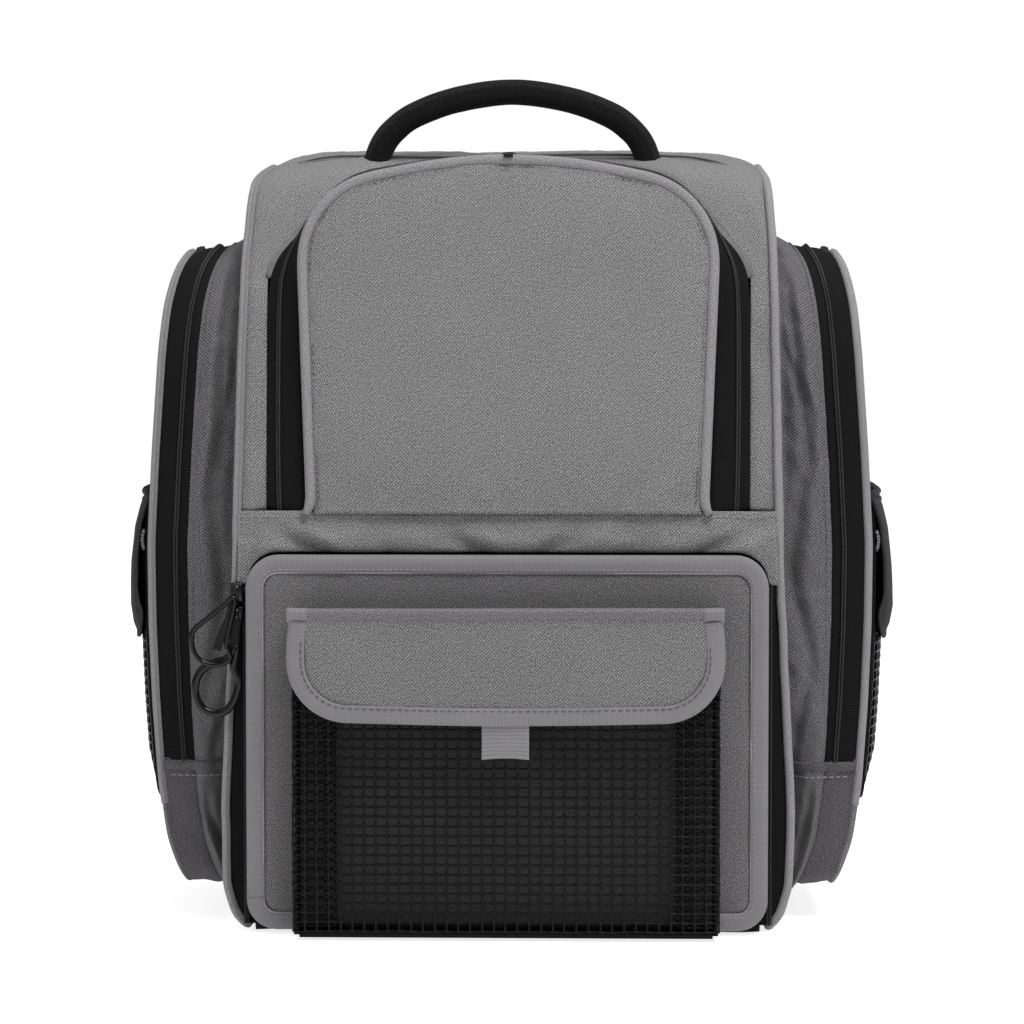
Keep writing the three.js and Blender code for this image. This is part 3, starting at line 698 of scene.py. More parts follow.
def front_ring():
    """Fabric round the lid's opening, out to the side piping and over the top."""
    columns, rows = 260, 18
    inner = resample(OPENING, columns)
    start = wall_run(STRIP[1])
    up = np.linspace(start, WALL_END, 120)
    edge_z = np.interp(up, WALL_RUN, WALL[:, 1])
    left = np.stack([-(half_width(edge_z) - SKIN + 1.5), up], axis=1)
    outer = resample(np.vstack([left, left[::-1] * [-1, 1]]), columns)
    share = np.linspace(0, 1, rows)[:, None, None]
    flat = inner[None] * (1 - share) + outer[None] * share
    x, run = flat[..., 0], flat[..., 1]
    at = np.stack([x, run, np.zeros_like(x)], axis=-1).reshape(-1, 3)
    soft = np.sin(np.pi * share[..., 0]) ** 0.6
    puckers = lumps(at, (14, 30, 20), 1).reshape(x.shape) * 1.1 + lumps(at, 45, 2).reshape(x.shape) * 1.6
    height = soft * (1.6 + puckers)
    height[:1] += 0.9
    height = height + 2.6 * np.clip((np.interp(run, WALL_RUN, WALL[:, 1]) - 412) / 20, 0, 1)
    points = on_wall(x, run, height)
    points[0] = on_wall(x[0], run[0], 0.2)
    grid("front_ring", points, LOOK["grey"], "pack", (0, -1, 0.4), cut=flat, thickness=2.2,
         inner_look=LOOK["lining"], slot="grey_cloth")


def strip():
    """The band under the lid, coming forward over the door's top edge, with hollows in it."""
    columns, rows = 300, 24
    across = np.linspace(-1, 1, columns)[None, :]
    half = DOOR_HIGH[0]
    past = np.clip(np.abs(across) * 150 - (half - 18), 0, 18)
    foot = DOOR_HIGH[2] + 1.0 - 18 + np.sqrt(18**2 - past**2)
    share = np.linspace(0, 1, rows)[:, None]
    z = foot + share * (STRIP[1] + 1 - foot)
    x = across * (half_width(z) - SKIN + 1.2)
    at = np.stack([x, z, np.zeros_like(x)], axis=-1).reshape(-1, 3)
    over_door = np.clip((half + 5 - np.abs(x)) / 14, 0.15, 1)
    middle_part = np.clip((142 - np.abs(x)) / 22, 0, 1)
    height = 9.0 * (1 - share) ** 1.9 * over_door
    height = height + (3.6 + 4.0 * middle_part) * np.sin(np.pi * np.minimum(share, 0.5)) ** 0.7
    height = height + lumps(at, (16, 9, 9), 3).reshape(x.shape) * 0.7
    for middle, deep, slant in ((-117, 5.2, 1.5), (-26, 3.8, 1.2), (30, 4.2, -1.0), (121, 5.0, -1.5),
                                (-72, 1.4, 0.8), (78, 1.6, -0.8)):
        off = x - middle + (z - 219) * slant
        height = height - deep * np.exp(-((off / 9.5) ** 2) - ((z - 216.5) / 8.0) ** 2)
        height = height + deep * 0.35 * np.exp(-(((off - 18) / 8) ** 2) - ((z - 220) / 8) ** 2)
    over_teeth = 1 + 5.2 * np.clip((224 - z) / 6, 0, 1)
    points = on_wall(x, wall_run(z), np.maximum(height, over_teeth))
    cut = np.stack([x, wall_run(z)], axis=-1)
    grid("front_strip", points, LOOK["grey"], "pack", FRONT, cut=cut, thickness=0.9,
         inner_look=LOOK["lining"], slot="grey_cloth")


def side_rows(z):
    """Front and rear y of the side panel at a height, from the body's profile."""
    line = moved_in(PROFILE, SKIN - 1)
    ys = []
    for level in z:
        crossing = []
        for a, b in zip(line, np.roll(line, -1, axis=0)):
            if (a[1] - level) * (b[1] - level) <= 0 and a[1] != b[1]:
                crossing.append(a[0] + (b[0] - a[0]) * (level - a[1]) / (b[1] - a[1]))
        ys.append((min(crossing), max(crossing)))
    return np.array(ys)


def side_panel(word, side):
    z = np.r_[np.linspace(4.5, 420, 70), np.linspace(422, 438.5, 14)]
    ends = side_rows(z)
    share = np.linspace(0, 1, 50)[None, :]
    y = ends[:, :1] * (1 - share) + ends[:, 1:] * share
    z = np.broadcast_to(z[:, None], y.shape)
    at = np.stack([y, z, np.zeros_like(y)], axis=-1).reshape(-1, 3)
    near_edge = np.minimum(share, 1 - share) * 190
    dent = crown(near_edge, 1.2, 20) + lumps(at, 30, 5 + side).reshape(y.shape) * 0.8
    x = side * (half_width(z) - 2.6 + np.broadcast_to(dent, y.shape))
    grid(f"side_panel_{word}_cloth", shoulder(np.stack([x, y, z], axis=-1)), LOOK["grey"], "pack",
         (side, 0, 0), thickness=2, inner_look=LOOK["lining"], slot="grey_cloth")


def body_piping(word, side):
    path = spaced(moved_in(PROFILE, PIPE_RADIUS), 3.0, closed=True)
    wander = lumps(np.c_[path, np.zeros(len(path))], 26, 6 + side) * 0.35
    x = side * (half_width(path[:, 1]) - PIPE_RADIUS + wander)
    line = shoulder(np.stack([x, path[:, 0], np.maximum(path[:, 1], PIPE_RADIUS)], axis=1))
    sweep(f"body_piping_{word}_cord", line, circle(PIPE_RADIUS), (side, 0, 0), LOOK["piping"],
          "pack", closed=True, slot="pale_binding")
    inner = spaced(moved_in(PROFILE, 5.2), 1.2, closed=True)
    x = side * (half_width(inner[:, 1]) - 6.6)
    stitched = shoulder(np.stack([x, inner[:, 0], inner[:, 1]], axis=1))
    keep = inner[:, 1] > 12
    first = np.argmax(~keep)
    order = np.roll(np.arange(len(inner)), -first)
    order = order[keep[order]]
    sweep(f"body_seam_{word}", stitched[order], circle(0.9, 6), (0, -1, 0), LOOK["seam"], "pack",
          slot="grey_cloth")


def base_and_back():
    low, high = cad_box("base_panel")
    outline = rounded([(-142, low[1], 8), (142, low[1], 8), (142, high[1], 8), (-142, high[1], 8)])
    outline = spaced(outline, 4, closed=True)

    def under(flat, out):
        return np.stack([flat[:, 0], flat[:, 1], np.maximum(4.8 - out, 0.2)], axis=1)

    disc("base_cloth", outline, under, lambda p, d: crown(d, 4.4, 14), LOOK["dark"], "pack", DOWN,
         thickness=2, inner_look=LOOK["lining"], slot="dark_cloth")
    low, high = cad_box("back_panel")
    z = np.linspace(4.5, 438, 60)[:, None]
    share = np.linspace(-1, 1, 60)[None, :]
    x = share * (half_width(z) - SKIN + 1)
    z = np.broadcast_to(z, x.shape)
    at = np.stack([x, z, np.zeros_like(x)], axis=-1).reshape(-1, 3)
    y = high[1] - 0.5 + lumps(at, 50, 9).reshape(x.shape) * 0.7
    corner = np.clip((z - 424) / 14, 0, 1)
    y = y - 9 * (1 - np.sqrt(1 - corner**2))
    grid("back_cloth", shoulder(np.stack([x, y, z], axis=-1)), LOOK["dark"], "pack", BACK, thickness=2,
         inner_look=LOOK["lining"], slot="dark_cloth")


def build_body():
    front_ring()
    strip()
    x = np.linspace(-149, 149, 300)
    lid_seam = on_wall(x, np.full(300, wall_run(STRIP[1] - 2.2)),
                       4.2 + 4.0 * np.clip((142 - np.abs(x)) / 22, 0, 1))
    stitches("strip_stitching", lid_seam, FRONT, LOOK["thread"], "pack")
    base_and_back()
    for word, side in SIDES:
        side_panel(word, side)
        body_piping(word, side)


# ---- Upper lid ----

HINGE = joint_at("upper_lid_hinge")
LEAN = math.radians(7.1)
LID_PIPE = 3.0
LID = rounded([(-112, 0), (-120, 184, 44), (0, 208, 60), (120, 184, 44), (112, 0)], closed=False)


def on_lid(u, v, out):
    """A point of the lid: across, up from the hinge, and out from its middle plane."""
    sin, cos = math.sin(LEAN), math.cos(LEAN)
    u, v, out = np.broadcast_arrays(u, v, out)
    return np.stack([u, HINGE[1] + v * sin - out * cos, HINGE[2] + v * cos + out * sin], axis=-1)


LID_OUT = np.array([0, -math.cos(LEAN), math.sin(LEAN)])


def lid_panel():
    line = spaced(moved_in(spaced(LID, 1.5), LID_PIPE + 1.2, closed=False), 1.8)
    line[:, 1] = np.maximum(line[:, 1], 0.5)
    foot = np.linspace(line[-1], line[0], 90)[1:-1]
    outline = np.vstack([line, foot])

    def height(flat, gap):
        at = np.c_[flat, np.zeros(len(flat))]
        arch_gap = edge_distance(flat, line, closed=False)
        puff = crown(arch_gap, 6.2, 40) * (0.32 + 0.68 * np.sin(np.clip(flat[:, 1] / 70, 0, 1) * 1.57)) + 0.8
        edge = np.exp(-((gap / 9) ** 2))
        tight = edge * (lumps(at, (9, 9, 9), 11) * 0.7 + lumps(at, (20, 20, 20), 12) * 0.6)
        corner = np.exp(-(((flat[:, 0] - 88) / 34) ** 2) - ((flat[:, 1] - 14) / 22) ** 2)
        folds = corner * np.sin((flat[:, 0] - flat[:, 1] * 0.9) / 5.2) * 0.7
        return puff + tight + folds + lumps(at, 60, 13) * 0.9

    disc("lid_cloth", outline, lambda p, h: on_lid(p[:, 0], p[:, 1], h), height, LOOK["grey"],
         "upper_lid", LID_OUT, rings=40, centre=(0, 100), thickness=4.5,
         inner_look=LOOK["lining"], slot="grey_cloth")
    stitched = spaced(moved_in(spaced(LID, 1.5), LID_PIPE + 4.4, closed=False), 2)
    stitches("lid_stitching", on_lid(stitched[:, 0], np.maximum(stitched[:, 1], 3), 2.9), LID_OUT,
             LOOK["dark_thread"], "upper_lid", width=0.28, rise=0.2)


def lid_piping():
    line = spaced(moved_in(spaced(LID, 1.5), LID_PIPE, closed=False), 3)
    line = line[(line[:, 1] > 5)]
    ends = [(-3.2, 1.6), (-0.8, 4.4)]
    foot = np.array([(line[0][0] - dx * -1, z - 1.6) for dx, z in ends])
    line = np.vstack([foot, line, foot[::-1] * [-1, 1]])
    line = softened(line, 3)
    out = 1.2 + lumps(np.c_[line, np.zeros(len(line))], 22, 14) * 0.3
    path = on_lid(line[:, 0], line[:, 1], out)
    thick = np.full(len(path), LID_PIPE)
    thick[:2] = thick[-2:] = LID_PIPE * 0.8
    section = circle(1.0, 12)[None] * thick[:, None, None]
    sweep("lid_piping_cord", path, section, LID_OUT, LOOK["piping"], "upper_lid",
          slot="pale_binding")


def lid_band():
    """The soft band round the lid: tape and half the teeth on the lid, the rest on the pack."""
    count = 240
    rim_flat = resample(LID, count)
    rim = on_lid(rim_flat[:, 0], np.maximum(rim_flat[:, 1], 1.0), -2.8)
    seam_flat = resample(OPENING, count)
    seam = on_wall(seam_flat[:, 0], seam_flat[:, 1], 0.2)
    across = seam - rim
    wide = np.linalg.norm(across, axis=1, keepdims=True)
    across = across / wide
    along = unit(np.gradient(rim, axis=0))
    out = unit(np.cross(across, along))
    inside = np.array([0, -60, 330]) - rim
    out = np.where(((out * inside).sum(1) > 0)[:, None], -out, out)
    teeth = np.minimum(16.0, 0.72 * wide)

    def band(start, end, rows, sag):
        share = np.linspace(0, 1, rows)[:, None, None]
        reach = start * (1 - share) + end * share
        dip = np.sin(np.pi * share) * sag
        return rim + across * reach + out * dip

    zero = np.zeros_like(wide)
    edge = np.minimum(teeth + 10, wide)
    grid("lid_tape", band(zero + 0.5, teeth - 0.1, 7, 0.5), LOOK["tape"], "upper_lid",
         (0, -0.4, 1), thickness=1.0, slot="zip_tape")
    grid("collar_tape", band(teeth + 0.1, edge, 7, 0.3), LOOK["tape"], "pack", (0, -0.4, 1),
         thickness=1.0, slot="zip_tape")
    top = [i for i in range(count) if wide[i, 0] > teeth[i, 0] + 12]
    first, last = top[0], top[-1] + 1
    collar = band(edge, wide + 2.5, 9, 2.2)[:, first:last]
    grid("collar_cloth", collar - out[first:last] * 0.5, LOOK["grey"], "pack", (0, -0.4, 1),
         thickness=1.4, inner_look=LOOK["lining"], slot="grey_cloth")
    line = rim + across * teeth + out * 0.5
    zip_rows("lid", line, out, "upper_lid", "pack")
    return line, out


def zip_rows(name, line, out, moving, fixed):
    """Two half coils that meet along a line: one rides with each side of the zip."""
    coil(f"{name}_teeth_moving", line, out, moving, half=-1)
    coil(f"{name}_teeth_fixed", line, out, fixed, half=1)


def build_lid():
    lid_panel()
    lid_piping()
    lid_band()

# ---- Lower door, its mesh pocket and the flap over it ----

TAPE_WIDTH = 10.0  # folded binding
DOOR = rounded([(DOOR_LOW[0], DOOR_LOW[2], 17), (DOOR_HIGH[0], DOOR_LOW[2], 17),
                (DOOR_HIGH[0], DOOR_HIGH[2], 18), (DOOR_LOW[0], DOOR_HIGH[2], 18)])
DOOR_FACE = DOOR_LOW[1]
DOOR_REAR = DOOR_HIGH[1]


def binding_section(width, back):
    """A folded tape seen end on, as (in from the edge, out from the face)."""
    return np.array([
        (-width, -1.6), (-width, 0.2), (-width + 0.5, 0.75), (-width * 0.72, 0.95),
        (-width * 0.4, 1.0), (-width * 0.16, 0.75), (-0.5, 0.0), (0.0, -1.2), (0.1, back * 0.6),
        (-0.4, back + 0.8), (-1.8, back), (-width, back + 0.4),
    ])


def bound_edge(name, outline, face, width, back, look, body, closed=True, wave=0.35, seed=20):
    """Binding round an outline in (x, z), facing the front."""
    path = spaced(outline, 2.0, closed)
    at = np.c_[path, np.zeros(len(path))]
    line = np.stack([path[:, 0], np.full(len(path), face) + lumps(at, 30, seed) * wave, path[:, 1]], 1)
    section = binding_section(width, back)
    along = frames_along(line, FRONT, closed)[1]
    middle = line.mean(axis=0)
    away = ((line - middle) * along).sum(1).mean()
    section = section if away > 0 else section * [-1, 1]
    wide = 1 + lumps(at, 16, seed + 1)[:, None, None] * 0.05
    section = section[None] * np.concatenate([wide, np.ones_like(wide)], axis=2)
    return sweep(name, line, section, FRONT, look, body, closed, slot="pale_binding")


def door_panel():
    outline = spaced(moved_in(spaced(DOOR, 2, True), TAPE_WIDTH - 1.5), 2.6, closed=True)

    def height(flat, gap):
        at = np.c_[flat, np.zeros(len(flat))]
        edge = np.exp(-((gap / 7) ** 2)) * lumps(at, 10, 22) * 0.5
        return crown(gap, 2.0, 24) + edge + lumps(at, 45, 23) * 0.7

    def place(flat, out):
        return np.stack([flat[:, 0], DOOR_FACE + 0.9 - out, flat[:, 1]], axis=1)

    # The door's cloth is the grey twill darkened: painted shade
    disc("door_cloth", outline, place, height, LOOK["door_painted_shade"], "lower_door", FRONT, rings=30,
         thickness=4.5, inner_look=LOOK["lining"], slot="grey_cloth")


def door_lining():
    """The door's inner face, level with the rear of its edge."""
    outline = spaced(moved_in(spaced(DOOR, 2, True), 2.5), 4, closed=True)

    def height(flat, gap):
        return crown(gap, 0.6, 8) + lumps(np.c_[flat, np.full(len(flat), 50.0)], 40, 24) * 0.3

    def place(flat, out):
        return np.stack([flat[:, 0], DOOR_REAR - 1.6 + out, flat[:, 1]], axis=1)

    disc("door_lining_cloth", outline, place, height, LOOK["lining"], "lower_door", BACK, rings=14,
         thickness=0.8, slot="dark_cloth")


def door_binding():
    depth = -(DOOR_REAR - DOOR_FACE) + 1.2
    bound_edge("door_binding_tape", spaced(DOOR, 2, True), DOOR_FACE - 0.4, TAPE_WIDTH, depth,
               LOOK["binding"], "lower_door")
    for name, inset, look in (("stitching", 2.2, "thread"), ("edge", 0.4, "thread")):
        inner = spaced(moved_in(spaced(DOOR, 2, True), TAPE_WIDTH - inset), 2, closed=True)
        line = np.stack([inner[:, 0], np.full(len(inner), DOOR_FACE - 1.2), inner[:, 1]], axis=1)
        if name == "edge":
            line[:, 1] += 0.6
            sweep("door_binding_fold", line, circle(0.5, 6), FRONT, LOOK[look], "lower_door", closed=True,
                  slot="pale_binding")
        else:
            stitches("door_stitching", line, FRONT, LOOK[look], "lower_door", closed=True, length=1.9,
                     gap=1.3)


def door_gusset():
    """Black zip band between the door's edge and the body: half rides with the door."""
    low, high = cad_box("lower_door_zip")
    outer_high = cad_box("lower_zip_tape")[1]
    y = (low[1] + high[1]) / 2

    def arch(half, top, corner):
        corners = [(-half, 4), (-half, top, corner), (half, top, corner), (half, 4)]
        return resample(rounded(corners, closed=False), 420)

    lines = [arch(half, top, corner) for half, top, corner in
             ((135, 205, 16), (high[0], high[2], 19), (high[0] + 0.2, high[2] + 0.2, 19),
              (outer_high[0] - 1, outer_high[2] - 1, 20))]
    legs = lines[3][:, 1] < 190
    lines[3][legs, 0] = np.sign(lines[3][legs, 0]) * (half_width(lines[3][legs, 1]) - 5.4)
    splay = [y - 1.5, y - 0.6, y - 0.6, y + 1.2]

    def sheet(first, second, rows=5):
        share = np.linspace(0, 1, rows)[:, None, None]
        flat = lines[first][None] * (1 - share) + lines[second][None] * share
        depth = splay[first] * (1 - share[..., 0]) + splay[second] * share[..., 0]
        return np.stack([flat[..., 0], np.broadcast_to(depth, flat.shape[:2]), flat[..., 1]], axis=-1)

    grid("door_zip_tape", sheet(0, 1), LOOK["tape"], "lower_door", FRONT, thickness=1.0,
         slot="zip_tape")
    grid("body_zip_tape", sheet(2, 3), LOOK["tape"], "pack", FRONT, thickness=1.0, slot="zip_tape")
    line = np.stack([lines[1][:, 0], np.full(420, y - 1.0), lines[1][:, 1]], axis=1)
    zip_rows("door", line, np.broadcast_to([0.0, -1.0, 0.0], line.shape), "lower_door", "pack")
    foot = np.linspace(-141, 141, 80)
    turn = np.linspace(0, math.pi / 2, 7)[:, None]
    x = np.broadcast_to(foot, (7, 80))
    bulge = 1 + 0.06 * np.sin(x / 9)
    gutter = np.stack([x, -99 - 6 * np.cos(turn) * bulge, 8.2 - 7.6 * np.sin(turn) * bulge], axis=-1)
    grid("door_foot_tape", gutter, LOOK["tape"], "pack", (0, -1, -1), thickness=1.2, slot="zip_tape")


def net(name, place, us, vs, body, radius=0.62, steps=3, seed=30, knots=0.5):
    """Coated mesh: cords along each u and each v, thicker where they cross.
    place(u, v, out) gives points."""
    parts = []

    def cord(path_u, path_v, crossing, lift):
        knot = np.exp(-((crossing / 0.22) ** 2))
        line = place(path_u, path_v, lift + 0 * path_u)
        thick = radius * (1 + knots * knot)
        section = circle(1.0, 5)[None] * thick[:, None, None]
        parts.append(sweep_mesh(line, section, (0.31, -0.9, 0.3)))

    def fine(values):
        count = (len(values) - 1) * steps + 1
        at = np.linspace(0, len(values) - 1, count)
        return np.interp(at, np.arange(len(values)), values), np.abs(at - np.round(at))

    fine_v, cross_v = fine(np.asarray(vs, float))
    fine_u, cross_u = fine(np.asarray(us, float))
    for u in us:
        sway = lumps(np.stack([fine_v * 0 + u, fine_v, fine_v * 0], 1), 14, seed) * 0.35
        cord(fine_v * 0 + u + sway, fine_v, cross_v, 0.12)
    for v in vs:
        sway = lumps(np.stack([fine_u, fine_u * 0 + v, fine_u * 0], 1), 14, seed + 1) * 0.3
        cord(fine_u, fine_u * 0 + v + sway, cross_u, -0.12)
    points, faces, uv = joined(parts)
    return make(name, points, faces, LOOK["mesh"], body, uv=uv, slot="pvc_mesh")


def front_mesh():
    low, high = cad_box("front_mesh_pocket")
    cell_u, cell_v = 6.45, 5.35
    columns = int((high[0] - low[0]) / cell_u)
    us = np.linspace(low[0] + 0.8, high[0] - 0.8, columns + 1)
    vs = np.arange(low[2] + 0.4, high[2] - 2, cell_v)

    def sheet(inset):
        def place(u, v, out):
            belly = np.cos(np.clip(u / high[0], -1, 1) * math.pi / 2) ** 0.6
            lean = 2.2 * belly * np.sin(np.clip((v - low[2]) / (high[2] - low[2]), 0, 1) * math.pi)
            return np.stack([u, low[1] + 2.6 + inset - lean - out, v], axis=-1)
        return place

    net("front_net", sheet(0), us, vs, "lower_door")
    for word, side in SIDES:
        pleat = np.sort(side * np.arange(high[0] - 2.4, high[0] - 28, -cell_u * 0.82))
        net(f"front_net_pleat_{word}", sheet(3.2), pleat, vs + cell_v * 0.45, "lower_door",
            radius=0.8, seed=33)

        def bellows(u, v, out, side=side):
            fold = 3.0 * np.sin((u - low[1]) / (high[1] - low[1]) * math.pi)
            return np.stack([side * (high[0] - 0.6 - fold) + 0 * u, u, v], axis=-1)

        depth = np.arange(low[1] + 3.5, high[1] + 0.8, 4.6)
        net(f"front_net_side_{word}", bellows, depth, vs, "lower_door", seed=35)
    x = np.linspace(low[0] + 1.5, high[0] - 1.5, 60)[None, :]
    z = np.linspace(low[2] + 0.5, high[2] - 1, 40)[:, None]
    x, z = np.broadcast_arrays(x, z)
    at = np.stack([x, z, 0 * x], axis=-1).reshape(-1, 3)
    y = high[1] - 5.5 + lumps(at, 40, 37).reshape(x.shape) * 1.2
    grid("pocket_backing", np.stack([x, y, z], axis=-1), LOOK["backing"], "lower_door", FRONT,
         thickness=1.5, slot="dark_cloth")
    foot = np.array([(low[0] + 4, 3.4), (high[0] - 4, 3.4)])
    line = resample(np.stack([foot[:, 0], np.full(2, low[1] + 3.0), foot[:, 1]], axis=1), 60)
    hem = np.array([(-1.3, -1.0), (-1.3, 0.3), (-0.8, 0.7), (0.8, 0.7), (1.3, 0.3), (1.3, -1.0)])
    sweep("net_foot_hem", line, hem, FRONT, LOOK["tape"], "lower_door", slot="zip_tape")
    base = np.stack(np.meshgrid(np.linspace(low[0] + 1, high[0] - 1, 30),
                                np.linspace(low[1] + 3, high[1], 8)), axis=-1)
    floor = np.concatenate([base, np.full(base.shape[:2] + (1,), 3.6)], axis=-1)
    grid("net_floor", floor, LOOK["tape"], "lower_door", DOWN, thickness=1, slot="zip_tape")


FLAP_LOW, FLAP_HIGH = cad_box("flap_binding")
FLAP_FACE = FLAP_LOW[1]


def flap_line():
    """The flap's edge from its top left, round its foot, to its top right, as (x, z)."""
    side = FLAP_LOW[2] + 2.2
    corners = [(FLAP_LOW[0] + 1.2, FLAP_HIGH[2] - 6.5), (FLAP_LOW[0] - 0.4, side + 44, 8),
               (FLAP_LOW[0], side, 33), (0, FLAP_LOW[2] - 0.8, 60), (FLAP_HIGH[0], side, 33),
               (FLAP_HIGH[0] + 0.4, side + 44, 8), (FLAP_HIGH[0] - 1.2, FLAP_HIGH[2] - 6.5)]
    return rounded(corners, closed=False, steps=14)


def flap():
    line = spaced(flap_line(), 2)
    whole = np.vstack([line, resample(np.array([line[-1], line[0]]), 90)[1:-1]])
    trim = TAPE_WIDTH - 1.5
    side = FLAP_LOW[2] + 2.5
    corners = [(FLAP_LOW[0] + trim, FLAP_HIGH[2] - 4, 3), (FLAP_LOW[0] + trim, side + trim, 26),
               (0, FLAP_LOW[2] + trim - 0.8, 60), (FLAP_HIGH[0] - trim, side + trim, 26),
               (FLAP_HIGH[0] - trim, FLAP_HIGH[2] - 4, 3)]
    outline = spaced(rounded(corners), 2.2, closed=True)

    def face(flat):
        """The flap hangs a little proud at its foot and waves along it."""
        at = np.c_[flat, np.zeros(len(flat))]
        down = np.clip((FLAP_HIGH[2] - 6 - flat[:, 1]) / 60, 0, 1)
        return FLAP_FACE + 1.0 - 1.4 * down - lumps(at, (46, 60, 30), 40) * 1.1 * down

    def height(flat, gap):
        at = np.c_[flat, np.zeros(len(flat))]
        dimple = np.exp(-(((flat[:, 1] - 160) / 20) ** 2)) * lumps(at, (16, 14, 14), 41) * 0.7
        return crown(gap, 1.8, 22) + dimple + lumps(at, 30, 42) * 0.5

    def place(flat, out):
        return np.stack([flat[:, 0], face(flat) - out, flat[:, 1]], axis=1)

    # The flap's cloth is the grey twill darkened: painted shade
    disc("flap_cloth", outline, place, height, LOOK["flap_painted_shade"], "pocket_flap", FRONT, rings=26,
         thickness=2.4, inner_look=LOOK["lining"], slot="grey_cloth")
    path = np.stack([line[:, 0], face(line) - 0.4, line[:, 1]], axis=1)
    section = binding_section(TAPE_WIDTH, -2.6)
    across = frames_along(path, FRONT)[1]
    out_sign = np.sign(((path - path.mean(axis=0)) * across).sum(1).mean())
    sweep("flap_binding_tape", path, section * [out_sign, 1], FRONT, LOOK["binding"], "pocket_flap",
          slot="pale_binding")
    inner = spaced(moved_in(whole, TAPE_WIDTH - 1.8), 2, closed=True)
    inner = inner[(inner[:, 1] < FLAP_HIGH[2] - 17)]
    turn = np.argmax(np.linalg.norm(np.diff(inner, axis=0, append=inner[:1]), axis=1)) + 1
    inner = np.roll(inner, -turn, axis=0)
    stitched = np.stack([inner[:, 0], face(inner) - 1.7, inner[:, 1]], axis=1)
    stitches("flap_stitching", stitched, FRONT, LOOK["dark_thread"], "pocket_flap")
    x = np.linspace(FLAP_LOW[0] + 0.2, FLAP_HIGH[0] - 0.2, 130)
    top = FLAP_HIGH[2] - 3.6
    ridge = np.stack([x, np.full(130, FLAP_FACE + 0.4), top + np.sin(x / 60) * 0.25], axis=1)
    fold = np.array([(-3.9, -1.6), (-3.8, -0.6), (-3.0, -0.2), (0.4, 2.3), (1.6, 3.0), (2.4, 2.9), (3.2, 2.1),
                     (3.7, 0.6), (3.7, -1.8)])
    up_sign = np.sign(frames_along(ridge, FRONT)[1][:, 2].mean())
    # The hem ridge's cloth is the grey twill darkened: painted shade under the fold
    sweep("flap_hem_ridge", ridge, fold * [up_sign, 1], FRONT, LOOK["hem"], "pocket_flap",
          slot="grey_cloth")
    for word, side in SIDES:
        end = ridge[np.abs(ridge[:, 0] - side * 114) < 6.5]
        sweep(f"flap_hem_end_{word}", end + [0, -0.35, 0], fold * [up_sign * 1.05, 1.12], FRONT,
              LOOK["binding"], "pocket_flap", slot="pale_binding")


def flap_root():
    """The flap's cloth from the seam on the door out to the fold over the pocket's front."""
    low = cad_box("lower_door_panel")[0]
    x = np.linspace(FLAP_LOW[0] + 1.5, FLAP_HIGH[0] - 1.5, 90)[None, :]
    share = np.linspace(0, 1, 12)[:, None]
    start, end = low[1] - 2.0, FLAP_FACE + 1.2
    x, share = np.broadcast_arrays(x, share)
    sag = np.sin(np.pi * share) * (1.6 + 0.8 * np.sin(x / 23))
    z = FLAP_HIGH[2] - 2.0 - sag
    points = np.stack([x, start + (end - start) * share, z], axis=-1)
    grid("flap_root_cloth", points, LOOK["grey"], "lower_door", UP, thickness=1.4,
         inner_look=LOOK["lining"], slot="grey_cloth")
    line = points[1, 2:-2] + [0, 0, 0.5]
    stitches("flap_root_stitching", line, (0, -0.3, 1), LOOK["dark_thread"], "lower_door")


def flap_tab():
    low, high = cad_box("flap_tab")
    rows = np.linspace(high[2] + 4, low[2], 26)
    x = np.linspace(low[0], high[0], 22)
    x, z = np.meshgrid(x, rows)
    down = (high[2] - z) / (high[2] - low[2])
    z = z + 0.9 * np.clip(down, 0, 1) * (1 - (x / high[0]) ** 2)
    ribs = 0.22 * np.sin(z * 2 * math.pi / 2.2)
    curl = 1.6 * np.clip(down, 0, 1) ** 2
    y = low[1] + 0.9 + ribs * 0.5 - curl + 0.8 * np.clip((down - 0.86) / 0.14, 0, 1) ** 2
    grid("flap_tab_webbing", np.stack([x, y, z], axis=-1), LOOK["satin"], "pocket_flap", FRONT,
         thickness=2.0, slot="pale_binding")


def build_door():
    door_panel()
    door_lining()
    door_binding()
    door_gusset()
    front_mesh()
    flap()
    flap_root()
    flap_tab()


# ---- Side pockets ----

SIDE_STAND = 46.5  # how far the pocket's outer piping stands off the body at most
ROOT = 159.6
TAPE_INNER, TEETH, TAPE_OUTER, CORD = 24.5, 30.0, 41.6, 43.9
TAPE_FOOT = 90  # where the zip ends and the plain bucket begins


def pocket_depth(z):
    """Share of the full stand-off at a height: deepest low down, shallow at the arch's top."""
    at = [10, 18, 26, 47, 78, 124, 170, 215, 268, 323, 350, 366, 376, 383, 390, 398]
    reach = [22, 24, 28, 36, 40.6, 44, 46, 46.5, 43.6, 39.5, 37, 34, 31, 27, 21, 15]
    fine = np.arange(0, 400, 2.0)
    smooth = np.interp(fine, at, reach)
    blur = np.hanning(13)
    smooth = np.convolve(np.pad(smooth, 6, mode="edge"), blur / blur.sum(), mode="valid")
    return np.interp(z, fine, smooth) / SIDE_STAND


def pocket_x(stand, z):
    """How far out a stand-off lies at a height. The zip keeps its width where the pocket is shallow."""
    outer = CORD * pocket_depth(z)
    inner = outer - (CORD - TAPE_INNER)
    root = half_width(z) - 4.5 - ROOT
    near = root + (np.maximum(stand, -1.5) + 1.5) / (TAPE_INNER + 1.5) * (inner - root)
    return ROOT + np.where(stand < TAPE_INNER, near, outer + stand - CORD)


